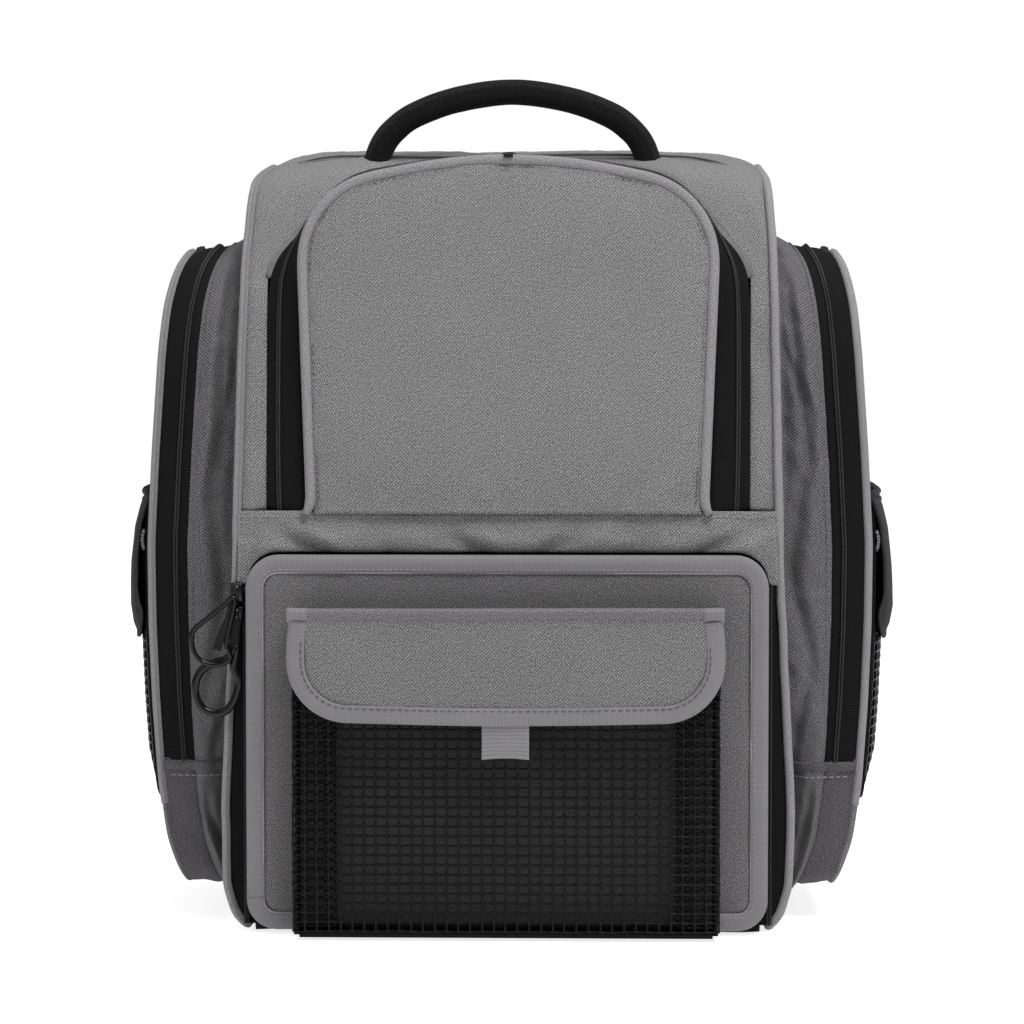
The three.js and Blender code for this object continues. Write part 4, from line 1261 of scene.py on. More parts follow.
def pocket_loop(stand, count=420, bottom=None):
    """The pocket's outline, as (y, z), so far off the body. It starts under its middle."""
    share = np.clip(stand / 44, 0, 1)
    front, back = -65 + 5 * share, 75 - 5 * share
    low = (18.5 if bottom is None else bottom) + 3 * share * (bottom is None)
    top = 389 - 9 * share
    radius = (back - front) / 2
    corners = [((front + back) / 2, low), (front, low, 16), (front, top, radius),
               (back, top, radius), (back, low, 16)]
    return resample(rounded(corners, steps=24), count, closed=True)


def on_pocket(side, loop, stand, out=0.0):
    """Points on the pocket's skin: a loop of (y, z), its stand-off and how far it bulges."""
    pushed = moved_in(loop, -1.0) - loop
    flat = loop + pushed * np.reshape(out, (-1, 1))
    x = side * pocket_x(stand, flat[:, 1])
    return np.stack([np.broadcast_to(x, len(loop)), flat[:, 0], flat[:, 1]], axis=1)


def valley(z, stand, top, foot, width, deep):
    """A crease in the gusset between two places given as (z, stand-off)."""
    share = np.clip((top[0] - z) / (top[0] - foot[0]), 0, 1)
    middle = top[1] + (foot[1] - top[1]) * share
    past = np.maximum(z - top[0], foot[0] - z)
    fade = np.exp(-((np.maximum(past, 0) / 12) ** 2)) * (0.55 + 0.45 * np.sin(np.pi * share))
    return deep * fade * (np.exp(-(((stand - middle) / width) ** 2))
                          - 0.3 * np.exp(-(((stand - middle - 1.9 * width) / width) ** 2)))


CREASES = {-1: (((356, 11), (250, 12), 2.6, 4.2), ((312, 5), (246, 15), 2.4, 3.4),
                ((250, 15), (190, 8), 3.0, 3.0), ((178, 7), (120, 17), 3.0, 2.6),
                ((128, 4), (96, 12), 2.4, 2.6), ((62, 17), (30, 6), 3.4, 6.0),
                ((375, 3), (200, 4), 6.0, 5.0), ((110, 4), (22, 3), 8.0, 9.0)),
           1: (((350, 9), (262, 15), 2.6, 4.4), ((330, 4), (290, 17), 2.2, 3.0),
               ((268, 14), (205, 6), 3.0, 3.2), ((200, 5), (140, 16), 3.0, 2.8),
               ((138, 13), (98, 5), 2.6, 2.6), ((66, 16), (28, 12), 3.2, 6.0),
               ((375, 3), (190, 4), 6.0, 5.0), ((110, 4), (22, 3), 8.0, 9.0))}


def row_at(points, level):
    """Where each row of a pocket's skin crosses a height on the pocket's front."""
    found = []
    for row in points:
        front = row[row[:, 1] < -20]
        found.append(front[np.argmin(np.abs(front[:, 2] - level))] * [1, 1, 0] + [0, -0.5, level])
    return np.array(found)


def pocket_gusset(word, side):
    rows = []
    stands = np.linspace(-1.5, TAPE_INNER, 40)
    for stand in stands:
        loop = pocket_loop(stand)
        share = np.clip(stand / TAPE_INNER, 0, 1)
        run = np.r_[0, np.cumsum(np.linalg.norm(np.diff(loop, axis=0), axis=1))]
        at = np.stack([run, np.full(len(run), stand), np.full(len(run), side * 50.0)], axis=1)
        soft = math.sin(math.pi * share) ** 0.7 if 0 < share < 1 else 0
        slack = np.clip(1 - share, 0, 1)
        folds = lumps(at, (15, 17, 20), 50) * 2.3 + lumps(at + [0, 0, 9], (34, 12, 20), 51) * 2.0
        diagonal = lumps(np.stack([run + stand * 1.7, stand - run * 0.2, at[:, 2]], 1), (10, 26, 20), 52)
        height = soft * (2.2 + folds * (0.45 + 0.5 * slack) + diagonal * 1.5 * slack)
        for crease in CREASES[side]:
            height = height - valley(loop[:, 1], stand, *crease) * min(1, soft * 1.5)
        rows.append(on_pocket(side, loop, stand, height))
    points = np.array(rows)
    points = np.concatenate([points, points[:, :1]], axis=1)
    # The gusset's cloth is the grey twill darkened: painted shade
    grid(f"pocket_gusset_{word}", points, LOOK["pocket_painted_shade"], "pack", (0, 0, 0), slot="grey_cloth",
         thickness=1.6, inner_look=LOOK["lining"], outward=(side * 180, 5, 200))
    return points


def pocket_bucket(word, side, gusset):
    """The plain cloth below the zip: its sides, its foot and the fixed strip of its face."""
    keep = pocket_loop(TAPE_INNER)[:, 1] < TAPE_FOOT + 2
    rows = []
    stands = np.linspace(TAPE_INNER - 0.5, CORD, 12)
    for stand in stands:
        loop = pocket_loop(stand)
        run = np.arange(len(loop)) * 2.4
        at = np.stack([run, np.full(len(run), stand), np.full(len(run), side * 30.0)], axis=1)
        fold = lumps(at, (20, 14, 20), 55) * 1.2
        ramp = min(1.0, (stand - stands[0]) / 4)
        rows.append(on_pocket(side, loop, stand, (0.9 + fold) * ramp)[keep])
    points = np.array(rows)
    order = np.roll(np.arange(points.shape[1]), points.shape[1] // 2)
    points = points[:, order]
    for row, level in enumerate((TAPE_FOOT + 0.5, TAPE_FOOT - 7)):
        line = np.vstack([row_at(gusset[6:-1], level), row_at(points[1:-1], level)])
        line = resample(softened(line, 2), 40)
        if row:
            stitches(f"bucket_stitching_{word}", line, FRONT, LOOK["thread"], "pack")
        else:
            fold = np.array([(-4.5, -0.6), (-4.3, 0.1), (-1, 0.7), (0.6, 0.8), (1.1, 0.2), (1.1, -0.6)])
            up = np.sign(frames_along(line, FRONT)[1][:, 2].mean())
            # The bucket's hem is the darkened grey twill: painted shade
            sweep(f"bucket_hem_{word}", line, fold * [up, 1], FRONT, LOOK["bucket_painted_shade"], "pack",
                  slot="grey_cloth")
    # The bucket's cloth is the darkened grey twill: painted shade
    grid(f"pocket_bucket_{word}", points, LOOK["bucket_painted_shade"], "pack", (0, 0, 0), slot="grey_cloth",
         thickness=1.6, inner_look=LOOK["lining"], outward=(side * 180, 5, 120))
    top = 65.0
    loop = pocket_loop(CORD)
    low = loop[loop[:, 1] < top]
    low = np.roll(low, len(low) // 2, axis=0)
    bridge = np.linspace(low[-1], low[0], 40)[1:-1]
    outline = spaced(np.vstack([low, bridge]), 3, closed=True)

    def place(flat, out):
        return np.stack([side * pocket_x(CORD + out, flat[:, 1]), flat[:, 0], flat[:, 1]], axis=1)

    # The pocket's foot is the darkened grey twill: painted shade
    disc(f"pocket_foot_{word}", outline, place, lambda p, d: crown(d, 2.5, 18), LOOK["bucket_painted_shade"],
         "pack", (side, 0, 0), rings=12, thickness=1.6, inner_look=LOOK["lining"], slot="grey_cloth")


def open_loop(stand, foot, count=420):
    """The part of the pocket's outline above a height, from its front over to its back."""
    loop = pocket_loop(stand, count)
    return resample(loop[loop[:, 1] > foot], count)


def pocket_zip(word, side):
    door = f"side_door_{word}"
    inner, teeth, outer = (open_loop(s, TAPE_FOOT - 2) for s in (TAPE_INNER - 1, TEETH, TAPE_OUTER))
    fixed = [on_pocket(side, inner * (1 - t) + teeth * t, TAPE_INNER - 1 + t * (TEETH - TAPE_INNER + 0.9),
                       0.7) for t in np.linspace(0, 1, 4)]
    moving = [on_pocket(side, teeth * (1 - t) + outer * t, TEETH + 0.1 + t * (TAPE_OUTER - TEETH),
                        0.7 + 0.8 * math.sin(math.pi * t)) for t in np.linspace(0, 1, 7)]
    seen_from = (side * 180, 5, 200)
    grid(f"side_tape_fixed_{word}", np.array(fixed), LOOK["tape"], "pack", (0, 0, 0),
         thickness=0.8, outward=seen_from, slot="zip_tape")
    grid(f"side_tape_moving_{word}", np.array(moving), LOOK["tape"], door, (0, 0, 0),
         thickness=0.8, outward=seen_from, slot="zip_tape")
    line = on_pocket(side, teeth, TEETH, 1.3)
    out = unit(on_pocket(side, teeth, TEETH, 2.3) - line)
    facing = frames_along(line, out)[1][:, 0].mean() * side
    coil(f"side_teeth_fixed_{word}", line, out, "pack", half=-1 if facing > 0 else 1)
    coil(f"side_teeth_moving_{word}", line, out, door, half=1 if facing > 0 else -1)
    edge = on_pocket(side, open_loop(TAPE_INNER - 3.4, TAPE_FOOT), TAPE_INNER - 3.4, 1.5)
    out = unit(on_pocket(side, open_loop(TAPE_INNER - 3.4, TAPE_FOOT), TAPE_INNER - 3.4, 2.5) - edge)
    stitches(f"gusset_stitching_{word}", edge, out, LOOK["dark_thread"], "pack")


def pocket_door(word, side):
    door = f"side_door_{word}"
    foot = 66.8
    whole = pocket_loop(CORD)
    line = whole[whole[:, 1] > foot + 1]
    line = np.vstack([[line[0][0], foot + 0.2], line, [line[-1][0], foot + 0.2]])
    path = on_pocket(side, spaced(line, 3), CORD, 0.4)
    sweep(f"side_piping_{word}", path, circle(2.4, 10), (side, 0, 0), LOOK["piping"], door,
          slot="pale_binding")
    low = whole[whole[:, 1] <= foot - 1]
    low = softened(np.roll(low, len(low) // 2, axis=0), 2)
    low = np.vstack([[low[0][0], foot - 0.1], low, [low[-1][0], foot - 0.1]])
    path = on_pocket(side, low, CORD, 0.2)
    sweep(f"foot_piping_{word}", path, circle(1.9, 10), (side, 0, 0), LOOK["seam"], "pack",
          slot="pale_binding")
    bridge = np.linspace(line[-1], line[0], 50)[1:-1]
    outline = spaced(moved_in(np.vstack([line, bridge]), 1.0), 3, closed=True)

    def place(flat, out):
        return np.stack([side * pocket_x(CORD + out, flat[:, 1]), flat[:, 0], flat[:, 1]], axis=1)

    def height(flat, gap):
        at = np.c_[flat, np.full(len(flat), side * 40.0)]
        return crown(gap, 3.4, 30) - 0.6 + lumps(at, 26, 60) * 0.9

    # The pocket's panel is the grey twill darkened: painted shade
    disc(f"side_cloth_{word}", outline, place, height, LOOK["pocket_painted_shade"], door, (side, 0, 0), rings=26,
         centre=(5, 220), thickness=2.2, inner_look=LOOK["lining"], slot="grey_cloth")


def side_net(word, side):
    door = f"side_door_{word}"
    low, high = cad_box(f"side_mesh_pocket_{word}")
    face = np.abs([low[0], high[0]]).max()
    ys = np.arange(low[1] + 1, high[1] - 0.5, 6.3)
    zs = np.arange(low[2] + 1, high[2] - 2, 5.35)

    def place(u, v, out):
        middle = (low[1] + high[1]) / 2
        belly = np.cos(np.clip((u - middle) / (middle - low[1]), -1, 1) * math.pi / 2) ** 0.5
        tuck = np.clip((v - low[2]) / 24, 0, 1) ** 0.6
        stand = CORD + 3.6 + (face - ROOT - CORD - 3.4) * belly * tuck
        return np.stack([side * (pocket_x(stand, v) - 0.2), u, v], axis=-1)

    net(f"side_net_{word}", place, ys, zs, door, seed=62)
    edge = rounded([(low[1], high[2] - 2), (low[1], low[2], 10), (high[1], low[2], 10),
                    (high[1], high[2] - 2)], closed=False)
    edge = spaced(edge, 3)
    path = np.stack([side * pocket_x(CORD + 3.6, edge[:, 1]), edge[:, 0], edge[:, 1]], axis=1)
    tape = np.array([(-3.5, -0.8), (-3.5, 0.5), (-2.8, 0.9), (2.8, 0.9), (3.5, 0.5), (3.5, -0.8)])
    sweep(f"side_net_tape_{word}", path, tape, (side, 0, 0), LOOK["tape"], door, slot="zip_tape")


def side_flap(word, side):
    body = f"side_flap_{word}"
    low, high = cad_box(f"side_flap_{word}")
    hung = np.abs([low[0], high[0]]).min()
    share = np.linspace(0, 1, 40)[:, None]
    y = np.linspace(low[1], high[1], 50)[None, :]
    middle, half = (low[1] + high[1]) / 2, (high[1] - low[1]) / 2
    corner = np.clip((np.abs(y - middle) - half + 18) / 18, 0, 1)
    drop = (high[2] - low[2]) - 14 * (1 - np.sqrt(1 - corner**2))
    z = high[2] + 1.5 - share * (drop + 1.5)
    bow = np.interp(share, [0, 0.1, 0.25, 0.5, 0.8, 0.92, 1.0], [-4.5, -1.5, 1.6, 3.9, 4.6, 3.2, 0.6])
    at = np.stack(np.broadcast_arrays(y, z, side * 20.0), axis=-1).reshape(-1, 3)
    wave = lumps(at, (26, 30, 20), 65).reshape(z.shape) * 0.8
    edge_on = np.clip(np.abs(y - middle) / half, 0, 1) ** 4
    x = side * (hung + bow + wave * (0.3 + 0.7 * share) - 6.0 * edge_on)
    y, z = np.broadcast_arrays(y, z)
    points = np.stack([x, y, z], axis=-1)
    grid(f"flap_side_{word}", points, LOOK["dark_grey"], body, (side, 0, 0), thickness=1.8,
         slot="dark_cloth")
    edge = np.vstack([points[:, 0], points[-1], points[::-1, -1]])
    edge = softened(spaced(edge + [side * 0.1, 0, 0], 2.0), 3)
    tape = np.array([(-2.4, -1.6), (-2.4, 0.3), (-1.4, 0.6), (1.2, 0.6), (2.0, 0.2), (2.2, -1.0)])
    sweep(f"flap_side_binding_{word}", edge, tape, (side, 0, 0), LOOK["dark_grey"], body,
          slot="dark_cloth")
    top = points[0] + [0, 0, 0.2]
    sweep(f"flap_side_top_{word}", top, circle(2.1, 10), (side, 0, 0), LOOK["dark_grey"], body,
          slot="dark_cloth")
    tab_z = np.linspace(high[2] - 19, high[2] - 31, 8)
    tab = np.stack(np.meshgrid(np.linspace(low[1] - 1.0, low[1] + 7, 6), tab_z), axis=-1)
    x = side * (hung - 6.6 + 1.2 * np.sin(np.pi * (tab[..., 1:] - tab_z[-1]) / 12))
    # The side flap's tab is the grey twill darkened: painted shade
    grid(f"flap_side_tab_{word}", np.concatenate([x, tab], axis=-1), LOOK["hem"], body,
         (side, 0, 0), thickness=1.6, slot="pale_binding")


def build_sides():
    for word, side in SIDES:
        pocket_bucket(word, side, pocket_gusset(word, side))
        pocket_zip(word, side)
        pocket_door(word, side)
        side_net(word, side)
        side_flap(word, side)

# ---- Handle, zip sliders and pull loops ----


def handle():
    high = cad_box("handle_grip")[1]
    pivot = joint_at("handle_swing")
    rise = high[2] - 7.5 - pivot[2]
    half = 81.0
    seam_turn = 0.72  # how far round the tube its seam lies, in radians
    arch = [(-1.0, -0.8), (-0.975, -0.45), (-0.93, -0.1), (-0.85, 0.2), (-0.7, 0.52), (-0.4, 0.84),
            (0, 1.0)]
    arch += [(-x, z) for x, z in arch[-2::-1]]
    line = catmull([(half * x, pivot[1], pivot[2] + rise * z) for x, z in arch], 2.0)
    sides = 28
    turn = np.linspace(0, 2 * math.pi, sides, endpoint=False)
    run = run_length(line)
    ripple = lumps(np.c_[run, run * 0, run * 0], 22, 70) * 0.3
    section = []
    for i in range(len(line)):
        radius = 7.2 + ripple[i] + 0.35 * np.cos(2 * turn + 0.6)
        radius = radius + 1.0 * np.exp(-(((turn - 1.05) / 0.16) ** 2))
        radius = radius - 0.5 * np.exp(-(((turn - seam_turn) / 0.12) ** 2))
        section.append(np.stack([-np.cos(turn) * radius, np.sin(turn) * radius], axis=1))
    sweep("handle_tube", line, np.array(section), FRONT, LOOK["grip"], "handle", slot="dark_cloth")
    _, across, out = frames_along(line, FRONT)
    normal = unit(-across * math.cos(seam_turn) + out * math.sin(seam_turn))
    seam = line + normal * 7.0
    stitches("handle_stitching", seam, normal, LOOK["dark"], "handle", width=0.3)


def handle_patch(word, side):
    low, high = cad_box(f"handle_patch_{word}")
    inner, outer = sorted([abs(low[0]), abs(high[0])])
    front, back = low[1], high[1]
    corners = [(inner, front + 9), (inner + 9, front), (outer - 8, front), (outer + 2, front + 10),
               (outer + 2, back - 9), (outer - 8, back), (inner + 9, back), (inner, back - 9)]
    outline = spaced(rounded([(a, b, 3) for a, b in corners]), 1.6, closed=True)

    def place(flat, out):
        return on_wall(side * flat[:, 0], run_at_y(flat[:, 1]), 4.4 + out)

    def height(flat, gap):
        at = np.c_[flat, np.full(len(flat), side * 9.0)]
        tube_end = np.exp(-(((flat[:, 0] - inner) / 12) ** 2) - ((flat[:, 1] - 10) / 11) ** 2)
        rear = np.clip((flat[:, 1] - front) / (back - front), 0, 1) ** 3
        return crown(gap, 1.0, 3) * rear - 2.4 + 2.6 * rear + 2.0 * tube_end + lumps(at, 11, 72) * 0.5

    disc(f"patch_{word}_cloth", outline, place, height, LOOK["grey"], "pack", UP, rings=16,
         thickness=1.2, slot="grey_cloth")


def fold_shadow_line():
    """A thin dark cord across the top behind the handle and its two patches: a painted shadow line where a
    fold of the cloth casts shade.
    """
    x = np.linspace(-124, 124, 130)
    y = 13 + 1.5 * np.sin(x / 23) - 18 * np.clip((np.abs(x) - 98) / 26, 0, 1) ** 1.6
    line = on_wall(x, run_at_y(y), 5.2 + 0.5 * np.sin(x / 31))
    thick = 0.75 * np.clip((126 - np.abs(x)) / 12, 0.2, 1)
    # Dark thread look used as a painted shadow line, not a seam
    sweep("fold_shadow_line", line, circle(1.0, 8)[None] * thick[:, None, None], UP, LOOK["dark_thread"], "pack",
          slot="grey_cloth")


def zip_slider(name, centre, along, out, body, size=(9.0, 11.0, 4.2)):
    """A moulded slider: a waisted body with a bridge over it. Along points to its nose."""
    wide, length, tall = size
    along, out = unit(along), unit(out)
    share = np.array([0.0, 0.06, 0.25, 0.5, 0.72, 0.92, 1.0])
    half = wide / 2 * np.array([0.62, 0.8, 0.82, 0.86, 0.98, 1.0, 0.86])
    high = tall * np.array([0.5, 0.72, 0.8, 0.78, 0.8, 0.74, 0.5])
    line = np.array(centre) + along * (share[:, None] - 0.5) * length
    corner = [(-1, 0), (-1, 0.72), (-0.82, 0.95), (-0.5, 1)]
    base = np.array(corner + [(-a, b) for a, b in corner[::-1]])
    section = base[None] * np.stack([half, high], axis=1)[:, None]
    parts = [sweep_mesh(line, section, out)]
    bow = np.array([(-0.42, 0.7), (-0.3, 1.15), (0, 1.32), (0.3, 1.15), (0.42, 0.7)])
    arc = catmull([np.array(centre) + along * a * length + out * b * tall for a, b in bow], 0.8)
    strip = np.array([(-1.3, -0.4), (-1.3, 0.35), (1.3, 0.35), (1.3, -0.4)])
    side_on = np.cross(along, out)
    parts.append(sweep_mesh(arc, strip[:, ::-1], side_on))
    points, faces, uv = joined(parts)
    obj = make(name, points, faces, LOOK["metal"], body, uv=uv, slot="black_plastic")
    soften = obj.modifiers.new("edge", "BEVEL")
    soften.width, soften.segments, soften.angle_limit = 0.35 * MM, 2, 0.6
    return obj


def cord_loop(name, points, y, radius, look, body, flat=1.0):
    line = catmull([(x, y, z) for x, z in points], 1.2, closed=True)
    return sweep(name, line, circle(radius, 12, flat), FRONT, look, body, closed=True,
                 slot="glossy_cord")


def door_pulls():
    up_low, up_high = cad_box("door_slider_upper")
    low_low, low_high = cad_box("door_slider_lower")
    for name, low, high, body, nose in (
        ("upper", up_low, up_high, "door_slider_upper", (0, 0, -1)),
        ("lower", low_low, low_high, "door_slider_lower", (0, 0, 1)),
    ):
        centre = [(low[0] + high[0]) / 2, high[1] - 0.3, (low[2] + high[2]) / 2]
        zip_slider(f"slider_{name}", centre, nose, FRONT, body, (8.6, high[2] - low[2], 5.0))
    ring_low, ring_high = cad_box("pull_loop_upper")
    y = (ring_low[1] + ring_high[1]) / 2
    path = [(-151.5, 188), (-158, 183.5), (-166, 177), (-173.5, 171), (-175.5, 166), (-174.5, 158.5),
            (-170.5, 153), (-164.5, 150.6), (-157.5, 151.5), (-154, 155), (-156, 163), (-153.4, 176)]
    cord_loop("loop_upper_cord", path, y, 1.5, LOOK["gloss"], "pull_loop_upper")
    strap_line = np.array([(-152.2, y + 0.6, 189), (-154, y + 0.4, 178), (-158.5, y - 0.2, 168),
                           (-161.5, y, 159)])
    flat = np.array([(-2.3, -0.8), (-2.3, 0.5), (-1.6, 0.9), (1.6, 0.9), (2.3, 0.5), (2.3, -0.8)])
    sweep("loop_upper_strap", catmull(strap_line, 1.5), flat, FRONT, LOOK["webbing"],
          "pull_loop_upper", slot="glossy_cord")
    ring_low, ring_high = cad_box("pull_loop_lower")
    y = (ring_low[1] + ring_high[1]) / 2
    path = [(-151, 160), (-152.5, 149), (-149.5, 141), (-152, 131), (-157, 124.5), (-163.5, 123),
            (-170, 126), (-173.6, 133), (-173.4, 141.5), (-170, 147.5), (-163.5, 151.5), (-156.5, 153.5)]
    cord_loop("loop_lower_ring", path, y, 2.3, LOOK["gloss"], "pull_loop_lower", 0.8)
    link = catmull([(-151, y, 176), (-151.6, y - 0.4, 168), (-152.2, y - 0.2, 159)], 1.5)
    sweep("loop_lower_link", link, flat * 1.15, FRONT, LOOK["webbing"], "pull_loop_lower",
          slot="glossy_cord")


def lid_pull():
    """The lid's slider sits at the top of the arch, its pull lying on the zip."""
    low, high = cad_box("lid_slider")
    centre = [0, (low[1] + high[1]) / 2 + 9, low[2] - 3.8]
    zip_slider("slider_lid", centre, (1, 0, 0), UP, "lid_slider", (9, 11, 3.0))
    line = np.array([[0, centre[1] - 4 - 2.4 * k, centre[2] + 3.4 - 0.25 * k] for k in range(9)])
    tag = np.array([(-2.6, -0.7), (-2.6, 0.5), (-1.9, 0.8), (1.9, 0.8), (2.6, 0.5), (2.6, -0.7)])
    sweep("lid_pull_tag", line, tag, UP, LOOK["webbing"], "lid_slider", slot="black_plastic")


def side_pull(word, side):
    low, high = cad_box(f"side_slider_{word}")
    x = (low[0] + high[0]) / 2
    middle = (low[1] + high[1]) / 2
    zip_slider(f"slider_side_{word}", [x, middle + 8, low[2] + 0.6], (0, 1, 0), UP,
               f"side_slider_{word}", (7, 11, 2.2))
    line = np.array([[x + side * 0.2, middle + 4 - 2.2 * k, low[2] + 2.6 - 0.14 * k * k]
                     for k in range(9)])
    tag = np.array([(-2.2, -0.7), (-2.2, 0.5), (-1.6, 0.8), (1.6, 0.8), (2.2, 0.5), (2.2, -0.7)])
    sweep(f"side_pull_tag_{word}", line, tag, UP, LOOK["webbing"], f"side_slider_{word}",
          slot="black_plastic")


def build_hardware():
    handle()
    fold_shadow_line()
    door_pulls()
    lid_pull()
    for word, side in SIDES:
        handle_patch(word, side)
        side_pull(word, side)


# ---- Harness ----


def pad(name, corners, look, body, y0, y1, slot="dark_cloth", channels=()):
    """A closed padded form standing on the back, inflated by simulation."""
    outline = spaced(rounded(corners, steps=8), 4, closed=True)
    deep = y1 - y0
    flat = disc_points(outline, 12)
    gap = edge_distance(flat, outline)
    out = y0 + 1.5 + crown(gap, deep * 0.72, 16)
    count = len(flat)
    front = np.stack([flat[:, 0], out, flat[:, 1]], axis=1)
    back = np.stack([flat[:, 0], np.full(count, y0), flat[:, 1]], axis=1)
    faces = disc_faces(len(outline), 12)
    points = np.vstack([front, back])
    faces = faces + [[k + count for k in f][::-1] for f in faces]
    n = len(outline)
    faces += [[i, (i + 1) % n, count + (i + 1) % n, count + i] for i in range(n)]
    obj = make(name, points, faces, look, None, slot=slot)
    inflate(obj, cap=4.5, floor=y0)
    sew(obj, channels, y0)
    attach(obj, body)
    return obj


def inflate(obj, cap, floor, voxel=5.0):
    """Cloth with air in it: remeshed, puffed up for a few frames, kept near where it was."""
    remesh = obj.modifiers.new("even", "REMESH")
    remesh.mode, remesh.voxel_size, remesh.use_smooth_shade = "VOXEL", voxel * MM, True
    apply_all(obj)
    before = np.empty(len(obj.data.vertices) * 3)
    obj.data.vertices.foreach_get("co", before)
    before = before.reshape(-1, 3)
    still = obj.vertex_groups.new(name="sewn")
    low = [i for i, p in enumerate(before) if p[1] < (floor + 1.2) * MM]
    still.add(low, 1.0, "REPLACE")
    cloth = obj.modifiers.new("cloth", "CLOTH")
    cloth.settings.use_pressure = True
    cloth.settings.uniform_pressure_force = 4
    cloth.settings.vertex_group_mass = "sewn"
    cloth.settings.effector_weights.gravity = 0
    cloth.settings.bending_stiffness = 2
    scene = bpy.context.scene
    for step in range(1, 21):
        scene.frame_set(step)
    seen = obj.evaluated_get(bpy.context.evaluated_depsgraph_get()).to_mesh()
    after = np.empty(len(seen.vertices) * 3)
    seen.vertices.foreach_get("co", after)
    obj.evaluated_get(bpy.context.evaluated_depsgraph_get()).to_mesh_clear()
    moved = after.reshape(-1, 3) - before
    far = np.linalg.norm(moved, axis=1, keepdims=True)
    moved = moved * np.minimum(1, cap * MM / np.maximum(far, 1e-9))
    obj.modifiers.remove(cloth)
    scene.frame_set(1)
    obj.data.vertices.foreach_set("co", (before + moved).ravel())
    smooth = obj.modifiers.new("fine", "SUBSURF")
    smooth.levels = smooth.render_levels = 1
    apply_all(obj)


def apply_all(obj):
    dg = bpy.context.evaluated_depsgraph_get()
    mesh = bpy.data.meshes.new_from_object(obj.evaluated_get(dg), depsgraph=dg)
    obj.modifiers.clear()
    old = obj.data
    obj.data = mesh
    if not mesh.materials and old.materials:
        mesh.materials.append(old.materials[0])
    bpy.data.meshes.remove(old)


def sew(obj, channels, floor):
    """Presses stitched channels, given as (axis, place, half width, depth), into a pad."""
    co = np.empty(len(obj.data.vertices) * 3)
    obj.data.vertices.foreach_get("co", co)
    co = co.reshape(-1, 3) / MM
    rise = np.clip(co[:, 1] - floor, 0, None)
    for axis, at, wide, deep in channels:
        groove = np.exp(-(((co[:, axis] - at) / wide) ** 2)) * deep
        co[:, 1] -= np.minimum(groove, rise * 0.7)
    obj.data.vertices.foreach_set("co", (co * MM).ravel())
    obj.data.shade_smooth()
    while obj.data.uv_layers:
        obj.data.uv_layers.remove(obj.data.uv_layers[0])
    put_uv(obj.data)


STRAP_TOP, STRAP_FOOT = (55, 404), (120, 34)  # ends of a strap on the back, as (x, z)


def harness_place(side):
    """Turns points of a strap hung straight down from x = 0 into its place on the pack."""
    lean = math.atan2(STRAP_FOOT[0] - STRAP_TOP[0], STRAP_TOP[1] - STRAP_FOOT[1])

    def place(x, y, z):
        x, y, z = np.broadcast_arrays(np.asarray(x, float), y, z)
        turned_x = x * math.cos(lean) - z * math.sin(lean)
        turned_z = x * math.sin(lean) + z * math.cos(lean)
        return np.stack([side * (STRAP_TOP[0] + turned_x), y, STRAP_TOP[1] + turned_z], axis=-1)

    return place


def shoulder_strap(word, side):
    body = f"strap_{word}"
    place = harness_place(side)
    drop = catmull([(0, 104, 4), (0, 112, 2), (0, 131, -6), (0, 149, -34), (0, 157, -90),
                    (0, 153, -160), (0, 143, -208), (0, 141, -214)], 3.0)
    run = run_length(drop)
    share = run / run[-1]
    half = 27 + 2.5 * np.sin(share * math.pi) - 10 * np.clip((share - 0.9) / 0.1, 0, 1) ** 2
    half = half - 5 * np.clip((0.05 - share) / 0.05, 0, 1)
    turn = np.linspace(0, 2 * math.pi, 40, endpoint=False)
    flatness = np.abs(np.cos(turn)) ** 0.45 * np.sign(np.cos(turn))
    puffy = np.abs(np.sin(turn)) ** 0.8 * np.sign(np.sin(turn))
    channel = 1 - 0.22 * np.exp(-(((np.abs(flatness) - 0.55) / 0.07) ** 2))
    lump = 1 + 0.05 * lumps(np.c_[run, run * 0, run * 0], 20, 80 + side)
    section = np.stack([flatness[None] * half[:, None],
                        puffy[None] * 4.6 * channel[None] * lump[:, None]], axis=-1)
    points, faces, uv = sweep_mesh(drop, section, BACK)
    points = place(points[:, 0], points[:, 1], points[:, 2])
    make(f"strap_pad_{word}", points, faces, LOOK["dark"], body, uv=uv, slot="dark_cloth")
    turn_y = drop[:, 1]
    for edge in (-1, 1):
        line = np.stack([edge * (half + 0.2), turn_y, drop[:, 2]], axis=1)
        line = place(line[:, 0], line[:, 1], line[:, 2])
        sweep(f"strap_edge_{word}_{'in' if edge < 0 else 'out'}", line, circle(1.7, 8), (0, 1, 0.2),
              LOOK["webbing"], body, slot="black_webbing")
    low_y, low_z = 140, -225
    lock = rounded([(-19, -238, 4), (19, -238, 4), (19, -211, 4), (-19, -211, 4)])
    window = rounded([(-13.5, -229, 2), (13.5, -229, 2), (13.5, -220, 2), (-13.5, -220, 2)])
    buckle(f"ladder_lock_{word}_body", lock, window, place, low_y, 5.0, body)
    bar = np.stack([np.linspace(-16, 16, 9), np.full(9, low_y + 1.0), np.full(9, low_z - 4)], axis=1)
    bar = place(bar[:, 0], bar[:, 1], bar[:, 2])
    sweep(f"ladder_bar_{word}", bar, circle(1.6, 8), (0, 1, 0.2), LOOK["plastic"], body,
          slot="black_plastic")
    fall = catmull([(0, 139.5, -226), (0, 139.5, -239.5), (0, 128, -295), (0, 111, -343),
                    (0, 100.5, -371)], 3.0)
    tape = np.array([(-12.5, -1.0), (-12.5, 0.8), (-11.8, 1.1), (11.8, 1.1), (12.5, 0.8), (12.5, -1.0)])
    points, faces, uv = sweep_mesh(fall, tape, BACK)
    points = place(points[:, 0], points[:, 1], points[:, 2])
    make(f"webbing_{word}", points, faces, LOOK["webbing"], body, uv=uv, slot="black_webbing")


